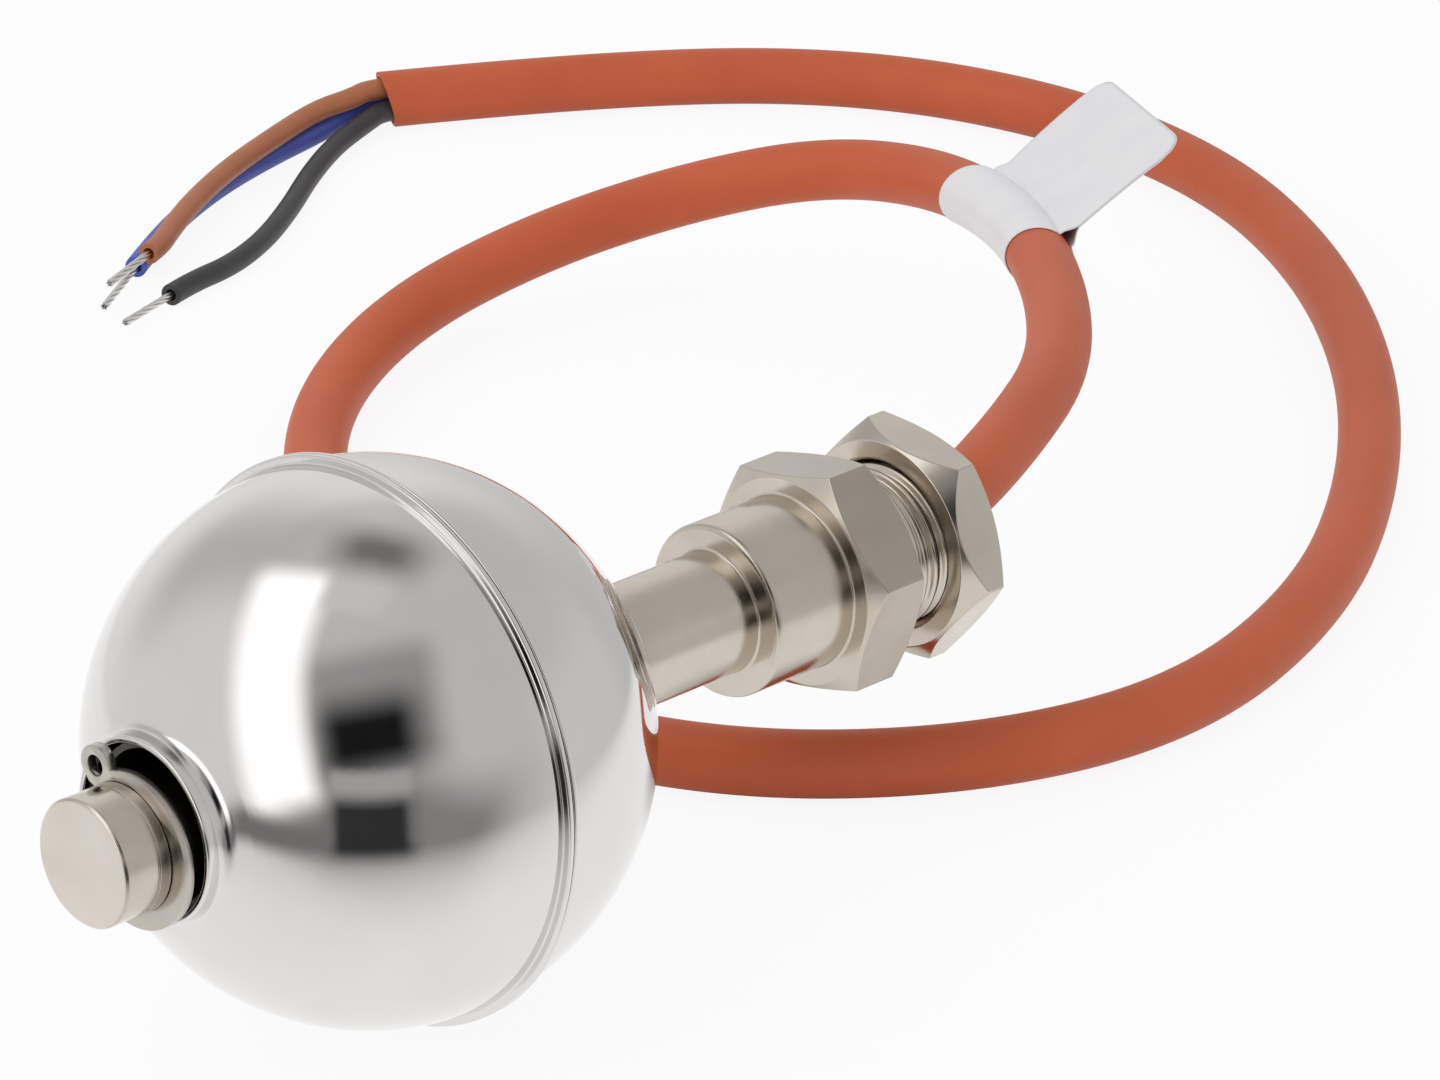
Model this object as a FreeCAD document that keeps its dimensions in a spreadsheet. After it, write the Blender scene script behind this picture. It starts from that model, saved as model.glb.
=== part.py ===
import FreeCAD, Part
import math
import os
import re

import Sketcher

# Liquid level sensor: a steel ball float slides on a plated brass stem that holds a reed switch.
# The stem lies along X with its free end at -X, the floor is Z = 0 under the float's seam,
# and a flexible cable leaves the threaded stub at +X. All sizes are in millimetres and degrees.

SIZES = {
    # Ball float, welded from two halves
    "ball_radius": 26.0,
    "shell_wall": 0.6,
    "lip_height": 0.85,
    "lip_width": 0.6,
    "neck_wall": 0.9,
    "neck_height": 2.2,
    "neck_round": 0.3,
    "neck_mouth": 0.35,
    "neck_blend": 0.9,
    "float_clearance": 1.2,
    "tube_wall": 0.6,
    "tube_recess": 1.6,
    "weld_gap": 0.05,
    # Ring magnet and its push-on clips inside the float
    "magnet_radius": 14.0,
    "magnet_length": 8.0,
    "magnet_gap": 0.1,
    "clip_radius": 11.0,
    "clip_thickness": 0.5,
    "clip_rim": 1.2,
    # Stem, collar, hexagon and threaded stub
    "stem_radius": 6.0,
    "stem_reach": 77.0,
    "stem_chamfer": 0.25,
    "rest_gap": 0.35,
    "tip_length": 3.6,
    "tip_line_width": 0.25,
    "tip_line_depth": 0.12,
    "stem_bore": 4.3,
    "end_wall": 3.0,
    "collar_radius": 8.5,
    "collar_length": 10.0,
    "collar_round": 0.6,
    "root_round": 0.3,
    "hex_across": 21.0,
    "hex_length": 7.0,
    "hex_turn": 49.5,
    "hex_front_inset": 0.3,
    "hex_front_slope": 30.0,
    "hex_rear_inset": 0.3,
    "hex_rear_slope": 30.0,
    "thread_radius": 8.0,
    "thread_length": 12.0,
    "thread_chamfer": 0.6,
    # Retaining ring and its groove
    "groove_setback": 5.05,
    "groove_width": 1.1,
    "groove_depth": 0.25,
    "ring_thickness": 1.0,
    "ring_band": 1.57,
    "ring_offset": 0.55,
    "ring_fit": 0.03,
    "ring_turn": 28.0,
    "ring_mouth": 4.0,
    "lug_radius": 1.9,
    "lug_offset": 1.85,
    "lug_angle": 30.0,
    "lug_eye": 1.0,
    "lug_blend": 0.8,
    "float_gap": 0.82,
    # Lock nut
    "nut_across": 21.0,
    "nut_thickness": 5.2,
    "nut_gap": 5.6,
    "nut_turn": 12.0,
    "nut_inset": 1.0,
    "nut_slope": 30.0,
    "nut_fit": 0.1,
    "nut_countersink": 0.5,
    # Circuit board with the changeover reed switch
    "board_fit": 0.18,
    "board_thickness": 1.0,
    "board_inset": 1.1,
    "board_front_margin": 2.5,
    "board_rear_margin": 4.0,
    "reed_offset": 8.4,
    "glass_radius": 2.5,
    "glass_length": 21.0,
    "glass_wall": 0.5,
    "glass_seal": 2.5,
    "glass_taper": 1.4,
    "glass_lift": 0.05,
    "blade_thickness": 0.25,
    "blade_reach": 3.0,
    "blade_foot": 1.0,
    "common_width": 1.2,
    "contact_width": 0.9,
    "contact_spread": 0.7,
    "contact_overlap": 2.0,
    "contact_gap": 0.2,
    # Cable, its cores and the leads inside the stem
    "cable_radius": 3.35,
    "cable_seat": 11.0,
    "core_radius": 1.25,
    "core_spread": 1.5,
    "strand_radius": 0.6,
    "strand_length": 11.0,
    "lead_radius": 1.1,
    "lead_spread": 1.15,
    "lead_lift": 0.05,
    "lead_rise": 1.95,
    "lead_gap": 6.0,
    "lead_bare_length": 4.0,
    "potting_length": 9.5,
    "potting_recess": 0.3,
    "potting_fit": 0.05,
    "potting_ease": 0.1,
    # Flag label on the cable
    "label_thickness": 0.25,
    "label_ease": 0.05,
    "flag_length": 15.0,
    "flag_rise": 38.0,
    # How far a cut's outline reaches past the metal it takes away
    "cut_margin": 1.0,
}

# Places and fits worked out from the sizes above
DERIVED = {
    "ball_height": "ball_radius + lip_height",
    "shell_bore": "ball_radius - shell_wall",
    "lip_radius": "ball_radius + lip_height",
    "tube_bore": "stem_radius + float_clearance",
    "tube_radius": "tube_bore + tube_wall",
    "neck_bore": "tube_radius + weld_gap",
    "neck_radius": "neck_bore + neck_wall",
    "neck_rim": "sqrt(ball_radius ^ 2 - neck_radius ^ 2) + neck_height",
    "tube_end": "neck_rim - tube_recess",
    "magnet_bore": "tube_radius + magnet_gap",
    "magnet_half": "magnet_length / 2",
    "clip_bore": "tube_radius + weld_gap",
    "axis_height": "ball_height - (float_clearance - rest_gap)",
    "stem_front": "-(stem_reach + collar_length + hex_length + thread_length) / 2",
    "shoulder": "stem_front + stem_reach",
    "hex_front": "shoulder + collar_length",
    "hex_rear": "hex_front + hex_length",
    "stub_end": "hex_rear + thread_length",
    "bore_front": "stem_front + end_wall",
    "tip_front": "stem_front + tip_length",
    "tip_rear": "tip_front + tip_line_width",
    "tip_radius": "stem_radius - tip_line_depth",
    "hex_corner": "hex_across / sqrt(3)",
    "hex_front_flat": "hex_across / 2 - hex_front_inset",
    "hex_rear_flat": "hex_across / 2 - hex_rear_inset",
    "hex_cut": "hex_corner + cut_margin",
    "groove_front": "stem_front + groove_setback",
    "groove_rear": "groove_front + groove_width",
    "groove_radius": "stem_radius - groove_depth",
    "ring_front": "groove_front + (groove_width - ring_thickness) / 2",
    "ring_rear": "ring_front + ring_thickness",
    "ring_bore": "groove_radius + ring_fit",
    "ring_radius": "ring_bore + ring_band",
    "lug_reach": "ring_bore + lug_offset",
    "lug_x": "lug_reach * cos(lug_angle * 1 deg)",
    "lug_y": "lug_reach * sin(lug_angle * 1 deg)",
    "ring_reach": "lug_reach + lug_radius + cut_margin",
    "ball_x": "ring_rear + float_gap + neck_rim",
    "nut_front": "hex_rear + nut_gap",
    "nut_rear": "nut_front + nut_thickness",
    "nut_corner": "nut_across / sqrt(3)",
    "nut_flat": "nut_across / 2 - nut_inset",
    "nut_cut": "nut_corner + cut_margin",
    "nut_bore": "thread_radius + nut_fit",
    "board_depth": "stem_bore - board_inset",
    "board_half": "sqrt((stem_bore - board_fit) ^ 2 - board_depth ^ 2)",
    "board_top": "board_thickness - board_depth",
    "reed_x": "ball_x + reed_offset",
    "reed_height": "board_top + glass_radius + glass_lift",
    "glass_half": "glass_length / 2",
    "glass_bore": "glass_radius - glass_wall",
    "foot_drop": "glass_radius + glass_lift",
    "blade_half": "blade_thickness / 2",
    "foot_x": "glass_half + blade_reach",
    "board_front": "reed_x - foot_x - blade_foot - board_front_margin",
    "lead_bare_x": "reed_x + foot_x + blade_foot + lead_gap - lead_bare_length",
    "lead_x": "lead_bare_x + lead_bare_length",
    "board_rear": "lead_x + board_rear_margin",
    "cable_start": "stub_end - cable_seat",
    "lead_height": "board_top + lead_radius + lead_lift",
    "potting_rear": "stub_end - potting_recess",
    "potting_front": "potting_rear - potting_length",
}

# Route of the cable from the stub to its cut end, after the two points on the stem's own axis
CABLE_ROUTE = [
    (71.4, 7.8, 27.0),
    (90.5, 17.9, 26.3),
    (108.6, 35.6, 25.0),
    (123.8, 55.0, 22.9),
    (132.8, 75.1, 20.0),
    (133.0, 93.3, 16.6),
    (124.0, 106.6, 12.8),
    (108.0, 114.0, 9.0),
    (88.0, 114.5, 5.5),
    (67.5, 104.5, 3.75),
    (49.5, 86.0, 3.35),
    (34.0, 60.0, 3.35),
    (27.0, 34.0, 3.35),
    (34.0, 10.0, 3.35),
    (53.0, -7.0, 3.35),
    (77.0, -13.0, 3.35),
    (105.0, -5.0, 3.35),
    (131.0, 11.0, 3.35),
    (155.0, 32.0, 3.35),
    (175.0, 57.0, 3.35),
    (188.0, 83.0, 3.35),
    (191.0, 110.0, 3.35),
    (183.0, 136.0, 3.35),
    (162.0, 156.5, 3.35),
    (137.0, 170.0, 3.35),
]
CABLE_FIRST_BEND = 16.5
# The label wraps the bend at this point of the whole route
LABEL_POINT = 5

# Routes of the three cores after the straight stretch that leaves the cable's end
CORE_STRAIGHT = 2.0
CORE_ROUTES = {
    "brown": [
        (131.5, 170.6, 4.6),
        (126.3, 170.6, 4.3),
        (117.8, 167.9, 4.0),
        (107.6, 163.4, 3.8),
        (97.6, 158.7, 3.6),
        (90.0, 154.4, 3.4),
        (84.8, 152.0, 3.25),
    ],
    "blue": [
        (132.4, 172.4, 1.95),
        (125.5, 171.6, 1.6),
        (117.1, 168.7, 1.35),
        (107.5, 165.0, 1.25),
        (98.1, 160.9, 1.25),
        (90.0, 156.9, 1.25),
        (83.6, 153.2, 1.27),
    ],
    "black": [
        (131.0, 168.6, 2.3),
        (124.3, 166.2, 1.8),
        (117.0, 161.1, 1.4),
        (108.4, 155.0, 1.25),
        (99.5, 149.4, 1.25),
        (91.5, 145.9, 1.25),
        (84.8, 145.4, 1.26),
        (80.2, 144.5, 1.28),
    ],
}
# Each core's place in the cable's section: clock angle from the side nearest the viewer, upwards
CORE_CLOCK = {"brown": 90.0, "blue": 210.0, "black": 330.0}

X_AXIS = FreeCAD.Vector(1, 0, 0)
Z_AXIS = FreeCAD.Vector(0, 0, 1)
# Share of the shorter run that a bend's arc takes up, and the least difference that counts
BEND_SHARE = 0.45
SAME = 1e-4
# The closed contact touches the common blade from below, the open one stands off above it
CLOSED_HEIGHT = "(0 - blade_thickness)"
OPEN_HEIGHT = "(blade_thickness + contact_gap)"

doc = FreeCAD.newDocument("level_sensor")
sheet = doc.addObject("Spreadsheet::Sheet", "Sizes")
pieces = []


def fill_sheet():
    """Writes each size and each derived place into its own named cell."""
    cells = {name: str(number) for name, number in SIZES.items()}
    cells.update({name: "=" + text for name, text in DERIVED.items()})
    for row, (name, content) in enumerate(cells.items(), 1):
        sheet.set(f"A{row}", name)
        sheet.set(f"B{row}", content)
        sheet.setAlias(f"B{row}", name)
    doc.recompute()


def bound(text):
    """A formula in the sheet's own names, written as an expression of the document."""
    def prefix(match):
        word = match.group()
        return "Sizes." + word if word in SIZES or word in DERIVED else word
    return re.sub(r"[a-z_]+", prefix, text)


def value(text):
    """The number that a formula in the sheet's own names gives."""
    return float(sheet.evalExpression(bound(text)))


def new_body(label):
    """An empty body that is one piece of the sensor."""
    body = doc.addObject("PartDesign::Body", label)
    body.Label = label
    pieces.append(body)
    return body


def seat(body, x="0", y="0", z="axis_height", turn="0", axis=X_AXIS):
    """Places a body, turned about an axis through its own origin."""
    body.Placement = FreeCAD.Placement(FreeCAD.Vector(), FreeCAD.Rotation(axis, 1))
    for path, text in (("x", x), ("y", y), ("z", z)):
        body.setExpression("Placement.Base." + path, bound(text))
    body.setExpression("Placement.Rotation.Angle", bound(f"({turn}) * 1 deg"))


def new_sketch(body, name, role, offset="0"):
    """A sketch on one of the body's own origin planes, moved along the plane's normal."""
    sketch = body.newObject("Sketcher::SketchObject", name)
    plane = next(item for item in body.Origin.OriginFeatures if item.Role == role)
    sketch.AttachmentSupport = [(plane, "")]
    sketch.MapMode = "FlatFace"
    sketch.setExpression("AttachmentOffset.Base.z", bound(offset))
    return sketch


def drive(sketch, constraint, text):
    """Adds a constraint and ties it to a formula."""
    number = sketch.addConstraint(constraint)
    sketch.setExpression(f"Constraints[{number}]", bound(text))


def fix_point(sketch, geometry, corner, x, y):
    """Holds a point of the sketch at formula distances from its origin; None leaves one free."""
    if x is not None:
        drive(sketch, Sketcher.Constraint("DistanceX", -1, 1, geometry, corner, value(x)), x)
    if y is not None:
        drive(sketch, Sketcher.Constraint("DistanceY", -1, 1, geometry, corner, value(y)), y)


def corner_place(x, y, radius):
    """Where a corner lies; a free coordinate comes from the arc about the origin it is on."""
    if x is None:
        return FreeCAD.Vector(math.sqrt(value(radius) ** 2 - value(y) ** 2), value(y), 0)
    if y is None:
        return FreeCAD.Vector(value(x), math.sqrt(value(radius) ** 2 - value(x) ** 2), 0)
    return FreeCAD.Vector(value(x), value(y), 0)


def outline(body, name, corners, arcs=None, role="XY_Plane", offset="0"):
    """A closed outline through corners given as formulas.

    arcs names the radius of each side, by its first corner, that is an arc about the origin.
    """
    arcs = arcs or {}
    sketch = new_sketch(body, name, role, offset)
    count = len(corners)
    near = {side: radius for side, radius in arcs.items()}
    near.update({(side + 1) % count: radius for side, radius in arcs.items()})
    places = [corner_place(x, y, near.get(index)) for index, (x, y) in enumerate(corners)]
    ends = []
    for index, start in enumerate(places):
        end = places[(index + 1) % count]
        if index not in arcs:
            sketch.addGeometry(Part.LineSegment(start, end), False)
            ends.append((1, 2))
            continue
        circle = Part.Circle(FreeCAD.Vector(), Z_AXIS, value(arcs[index]))
        angles = [math.atan2(point.y, point.x) for point in (start, end)]
        sketch.addGeometry(Part.ArcOfCircle(circle, min(angles), max(angles)), False)
        ends.append((1, 2) if angles[0] < angles[1] else (2, 1))
    for index in range(count):
        following = (index + 1) % count
        sketch.addConstraint(
            Sketcher.Constraint("Coincident", index, ends[index][1], following, ends[following][0]))
    for index, radius in arcs.items():
        sketch.addConstraint(Sketcher.Constraint("Coincident", index, 3, -1, 1))
        drive(sketch, Sketcher.Constraint("Radius", index, value(radius)), radius)
    for index, (x, y) in enumerate(corners):
        fix_point(sketch, index, ends[index][0], x, y)
    return sketch


def circles(body, name, rounds, offset="0"):
    """A sketch across the stem's axis with circles given as (across, up, radius)."""
    sketch = new_sketch(body, name, "YZ_Plane", offset)
    for index, (x, y, radius) in enumerate(rounds):
        centre = FreeCAD.Vector(value(x), value(y), 0)
        sketch.addGeometry(Part.Circle(centre, Z_AXIS, value(radius)), False)
        fix_point(sketch, index, 3, x, y)
        drive(sketch, Sketcher.Constraint("Radius", index, value(radius)), radius)
    return sketch


def hexagon(body, name, corner, offset):
    """A sketch of a regular hexagon across the stem's axis, with a corner on the first axis."""
    turns = [f"{60 * step} deg" for step in range(6)]
    corners = [(f"{corner} * cos({turn})", f"{corner} * sin({turn})") for turn in turns]
    return outline(body, name, corners, role="YZ_Plane", offset=offset)


def revolve(body, kind, sketch):
    """Turns a profile about the stem's axis, adding or cutting."""
    feature = body.newObject("PartDesign::" + kind, sketch.Name + "_turn")
    feature.Profile = sketch
    feature.ReferenceAxis = (sketch, ["H_Axis"])
    feature.Angle = 360
    return recomputed(feature, body)


def pad(body, sketch, length, midplane=False):
    """Raises an outline by a length."""
    feature = body.newObject("PartDesign::Pad", sketch.Name + "_pad")
    feature.Profile = sketch
    feature.setExpression("Length", bound(length))
    feature.Midplane = midplane
    return recomputed(feature, body)


def pocket(body, sketch, reverse=False):
    """Cuts an outline through everything on one side of its plane."""
    feature = body.newObject("PartDesign::Pocket", sketch.Name + "_cut")
    feature.Profile = sketch
    feature.Type = "ThroughAll"
    feature.Reversed = reverse
    return recomputed(feature, body)


def recomputed(feature, body):
    """Brings the body up to date and stops where a cut took nothing away."""
    before = feature.BaseFeature.Shape.Volume if feature.BaseFeature else 0.0
    doc.recompute()
    if abs(body.Shape.Volume - before) < SAME:
        raise RuntimeError(f"{feature.Name} changes nothing on {body.Label}")
    return feature


def round_edges(body, name, radius, chosen):
    """Rounds the edges that a test picks out."""
    base = body.Tip
    edges = [f"Edge{number}" for number, edge in enumerate(base.Shape.Edges, 1) if chosen(edge)]
    feature = body.newObject("PartDesign::Fillet", name)
    feature.Base = (base, edges)
    feature.setExpression("Radius", bound(radius))
    return recomputed(feature, body)


def ring_edge(radius, x):
    """A test for round edges about the stem's axis, of a radius and at a place along it."""
    def chosen(edge):
        if not isinstance(edge.Curve, Part.Circle):
            return False
        centre = edge.Curve.Center
        right_size = abs(edge.Curve.Radius - value(radius)) < SAME
        return right_size and abs(centre.x - value(x)) < SAME
    return chosen


def turned(label, corners, arcs=None):
    """A piece turned about the stem's axis from one outline."""
    body = new_body(label)
    revolve(body, "Revolution", outline(body, label + "_profile", corners, arcs))
    return body


def corner_cut(body, name, face, inside, flat, outer, slope):
    """Cuts the corners of a hexagon back from one face, on a cone that meets it at the flat radius."""
    far = f"{face} + {inside} * ({outer} - {flat}) * tan({slope} * 1 deg)"
    profile = outline(body, name, [(face, flat), (face, outer), (far, outer)])
    revolve(body, "Groove", profile)


def make_stem():
    """Stem, collar, hexagon and threaded stub, turned from one bar and bored from the rear."""
    body = turned("stem_body", [
        ("stem_front", "0"),
        ("stem_front", "stem_radius - stem_chamfer"),
        ("stem_front + stem_chamfer", "stem_radius"),
        ("tip_front", "stem_radius"),
        ("tip_front", "tip_radius"),
        ("tip_rear", "tip_radius"),
        ("tip_rear", "stem_radius"),
        ("groove_front", "stem_radius"),
        ("groove_front", "groove_radius"),
        ("groove_rear", "groove_radius"),
        ("groove_rear", "stem_radius"),
        ("shoulder", "stem_radius"),
        ("shoulder", "collar_radius"),
        ("hex_rear", "collar_radius"),
        ("hex_rear", "thread_radius"),
        ("stub_end - thread_chamfer", "thread_radius"),
        ("stub_end", "thread_radius - thread_chamfer"),
        ("stub_end", "0"),
    ])
    round_edges(body, "collar_edge", "collar_round", ring_edge("collar_radius", "shoulder"))
    round_edges(body, "collar_root", "root_round", ring_edge("stem_radius", "shoulder"))
    pad(body, hexagon(body, "hex_outline", "hex_corner", "hex_front"), "hex_length")
    corner_cut(body, "hex_front_cut", "hex_front", "1", "hex_front_flat", "hex_cut", "hex_front_slope")
    corner_cut(body, "hex_rear_cut", "hex_rear", "-1", "hex_rear_flat", "hex_cut", "hex_rear_slope")
    revolve(body, "Groove", outline(body, "stem_bore_cut", [
        ("bore_front", "0"),
        ("bore_front", "stem_bore"),
        ("stub_end", "stem_bore"),
        ("stub_end", "0"),
    ]))
    seat(body, turn="hex_turn")


def make_lock_nut():
    """Hexagon nut with both ends of its corners and of its bore cut back."""
    body = new_body("lock_nut")
    pad(body, hexagon(body, "nut_outline", "nut_corner", "nut_front"), "nut_thickness")
    corner_cut(body, "nut_front_cut", "nut_front", "1", "nut_flat", "nut_cut", "nut_slope")
    corner_cut(body, "nut_rear_cut", "nut_rear", "-1", "nut_flat", "nut_cut", "nut_slope")
    revolve(body, "Groove", outline(body, "nut_bore_cut", [
        ("nut_front", "0"),
        ("nut_front", "nut_bore + nut_countersink"),
        ("nut_front + nut_countersink", "nut_bore"),
        ("nut_rear - nut_countersink", "nut_bore"),
        ("nut_rear", "nut_bore + nut_countersink"),
        ("nut_rear", "0"),
    ]))
    seat(body, turn="nut_turn")


def make_retaining_ring():
    """Open spring ring, widest opposite its mouth, with an eye in the lug on each side of it."""
    body = new_body("retaining_ring")
    band = circles(body, "ring_band", [("-ring_offset", "0", "ring_radius")], "ring_front")
    pad(body, band, "ring_thickness")
    eyes = [("lug_x", "lug_y"), ("lug_x", "-lug_y")]
    for name, (x, y) in zip(("near_lug", "far_lug"), eyes):
        pad(body, circles(body, name, [(x, y, "lug_radius")], "ring_front"), "ring_thickness")
    half = "ring_mouth / 2"
    mouth = outline(body, "ring_mouth_cut", [
        ("0", "-" + half),
        ("ring_reach", "-" + half),
        ("ring_reach", half),
        ("0", half),
    ], role="YZ_Plane", offset="ring_front")
    pocket(body, mouth, reverse=True)
    pocket(body, circles(body, "ring_bore_cut", [("0", "0", "ring_bore")], "ring_front"), reverse=True)
    holes = circles(body, "ring_eyes", [(x, y, "lug_eye") for x, y in eyes], "ring_front")
    pocket(body, holes, reverse=True)

    def blend_corner(edge):
        """The inner corner, along the stem, where the back of a lug leaves the band."""
        ends = [vertex.Point for vertex in edge.Vertexes]
        if len(ends) != 2 or abs(ends[0].x - ends[1].x) < value("ring_thickness") / 2:
            return False
        from_band = math.hypot(ends[0].y + value("ring_offset"), ends[0].z)
        return abs(from_band - value("ring_radius")) < SAME and abs(ends[0].z) > value("lug_y")

    round_edges(body, "lug_backs", "lug_blend", blend_corner)
    seat(body, turn="ring_turn")


def make_float_half(label, turn):
    """Half of the ball with its seam lip and its drawn neck; the other half is turned round."""
    body = turned(label, [
        ("0", None),
        ("0", "lip_radius"),
        ("lip_width", "lip_radius"),
        ("lip_width", None),
        (None, "neck_radius"),
        ("neck_rim", "neck_radius"),
        ("neck_rim", "neck_bore"),
        (None, "neck_bore"),
    ], {3: "ball_radius", 7: "shell_bore"})
    round_edges(body, label + "_rim", "neck_round", ring_edge("neck_radius", "neck_rim"))
    round_edges(body, label + "_mouth", "neck_mouth", ring_edge("neck_bore", "neck_rim"))
    root = "neck_rim - neck_height"
    round_edges(body, label + "_root", "neck_blend", ring_edge("neck_radius", root))
    seat(body, x="ball_x", z="ball_height", turn=turn, axis=Z_AXIS)


def make_float_core():
    """Guide tube through the ball, with the ring magnet that works the switch."""
    tube = turned("float_tube", [
        ("-tube_end", "tube_bore"),
        ("-tube_end", "tube_radius"),
        ("tube_end", "tube_radius"),
        ("tube_end", "tube_bore"),
    ])
    magnet = turned("float_magnet", [
        ("-magnet_half", "magnet_bore"),
        ("-magnet_half", "magnet_radius"),
        ("magnet_half", "magnet_radius"),
        ("magnet_half", "magnet_bore"),
    ])
    for body in (tube, magnet):
        seat(body, x="ball_x", z="ball_height")


def make_magnet_clip(label, turn):
    """Push-on clip, an L-shaped ring that holds one face of the magnet."""
    body = turned(label, [
        ("magnet_half", "clip_bore"),
        ("magnet_half", "clip_radius"),
        ("magnet_half + clip_thickness", "clip_radius"),
        ("magnet_half + clip_thickness", "clip_bore + clip_thickness"),
        ("magnet_half + clip_rim", "clip_bore + clip_thickness"),
        ("magnet_half + clip_rim", "clip_bore"),
    ])
    seat(body, x="ball_x", z="ball_height", turn=turn, axis=Z_AXIS)


def make_reed_board():
    """Narrow board that lies along the lower side of the bore."""
    body = new_body("reed_board")
    section = outline(body, "board_section", [
        ("-board_half", "-board_depth"),
        ("board_half", "-board_depth"),
        ("board_half", "board_top"),
        ("-board_half", "board_top"),
    ], role="YZ_Plane", offset="board_front")
    pad(body, section, "board_rear - board_front")
    seat(body)


def slot(body, name, y, z, width):
    """Opening through a glass seal for one blade."""
    corners = []
    for across, up in ((-1, -1), (1, -1), (1, 1), (-1, 1)):
        corners.append((f"{y} + {across} * {width} / 2", f"{z} + {up} * blade_half"))
    return outline(body, name, corners, role="YZ_Plane")


def make_reed_glass():
    """Hollow glass capsule with a seal at each end that the blades pass through."""
    body = turned("reed_glass", [
        ("-glass_half", "0"),
        ("-glass_half", "glass_radius - glass_taper"),
        ("-glass_half + glass_taper", "glass_radius"),
        ("glass_half - glass_taper", "glass_radius"),
        ("glass_half", "glass_radius - glass_taper"),
        ("glass_half", "0"),
        ("glass_half - glass_seal", "0"),
        ("glass_half - glass_seal", "glass_bore"),
        ("-glass_half + glass_seal", "glass_bore"),
        ("-glass_half + glass_seal", "0"),
    ])
    pocket(body, slot(body, "common_slot", "0", "0", "common_width"))
    pocket(body, slot(body, "open_slot", "contact_spread", OPEN_HEIGHT, "contact_width"), reverse=True)
    pocket(body, slot(body, "closed_slot", "-contact_spread", CLOSED_HEIGHT, "contact_width"), reverse=True)
    seat(body, x="reed_x", z="axis_height + reed_height")


def make_blade(label, height, width, y, turn):
    """Flat blade that leaves the capsule, steps down and ends in a foot on the board."""
    body = new_body(label)
    tip = "-contact_overlap"
    top = f"{height} + blade_half"
    under = f"{height} - blade_half"
    foot = "-foot_drop"
    profile = outline(body, label + "_side", [
        (tip, top),
        ("foot_x + blade_thickness", top),
        ("foot_x + blade_thickness", foot + " + blade_thickness"),
        ("foot_x + blade_foot", foot + " + blade_thickness"),
        ("foot_x + blade_foot", foot),
        ("foot_x", foot),
        ("foot_x", under),
        (tip, under),
    ], role="XZ_Plane")
    pad(body, profile, width, midplane=True)
    seat(body, x="reed_x", y=y, z="axis_height + reed_height", turn=turn, axis=Z_AXIS)


def make_board_lead(label, y, z):
    """Insulated lead from the cable's inner end to the board, with a bare end."""
    body = turned(label, [
        ("lead_bare_x", "0"),
        ("lead_bare_x", "strand_radius"),
        ("lead_x", "strand_radius"),
        ("lead_x", "lead_radius"),
        ("cable_start", "lead_radius"),
        ("cable_start", "0"),
    ])
    seat(body, y=y, z="axis_height + " + z)


def make_potting():
    """Cast plug between the cable and the stub's bore."""
    body = turned("cable_potting", [
        ("potting_front", "cable_radius + potting_ease"),
        ("potting_front", "stem_bore - potting_fit"),
        ("potting_rear", "stem_bore - potting_fit"),
        ("potting_rear", "cable_radius + potting_ease"),
    ])
    seat(body)


def bent_path(points, label):
    """Edges along a route: straight runs, with the largest tangent arc each corner has room for."""
    points = [FreeCAD.Vector(*point) for point in points]
    edges = []
    radii = []
    start = points[0]
    for before, corner, after in zip(points, points[1:], points[2:]):
        incoming = corner - before
        outgoing = after - corner
        reach = BEND_SHARE * min(incoming.Length, outgoing.Length)
        radii.append(reach / math.tan(incoming.getAngle(outgoing) / 2))
        incoming.normalize()
        outgoing.normalize()
        first = corner - incoming * reach
        last = corner + outgoing * reach
        inward = outgoing - incoming
        inward.normalize()
        centre_gap = math.hypot(reach, radii[-1])
        middle = corner + inward * (centre_gap - radii[-1])
        edges.append(Part.LineSegment(start, first).toShape())
        edges.append(Part.Arc(first, middle, last).toShape())
        start = last
    edges.append(Part.LineSegment(start, points[-1]).toShape())
    print(label, "bend radii", [round(radius, 1) for radius in radii])
    return edges


def make_tube(label, edges, radius):
    """Round solid swept along a bent path, its radius tied to the sheet."""
    path = doc.addObject("Part::Feature", label + "_path")
    path.Shape = Part.Wire(edges)
    ring = doc.addObject("Part::Circle", label + "_section")
    ring.setExpression("Radius", bound(radius))
    start = edges[0].Vertexes[0].Point
    heading = edges[0].Vertexes[-1].Point - start
    ring.Placement = FreeCAD.Placement(start, FreeCAD.Rotation(Z_AXIS, heading))
    tube = doc.addObject("Part::Sweep", label)
    tube.Label = label
    tube.Sections = [ring]
    tube.Spine = (path, [f"Edge{number}" for number in range(1, len(edges) + 1)])
    tube.Solid = True
    tube.Frenet = False
    pieces.append(tube)
    doc.recompute()
    expected = math.pi * value(radius) ** 2 * path.Shape.Length
    share = tube.Shape.Volume / expected
    print(label, "length", round(path.Shape.Length, 1), "volume share", round(share, 4))
    return tube


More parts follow.
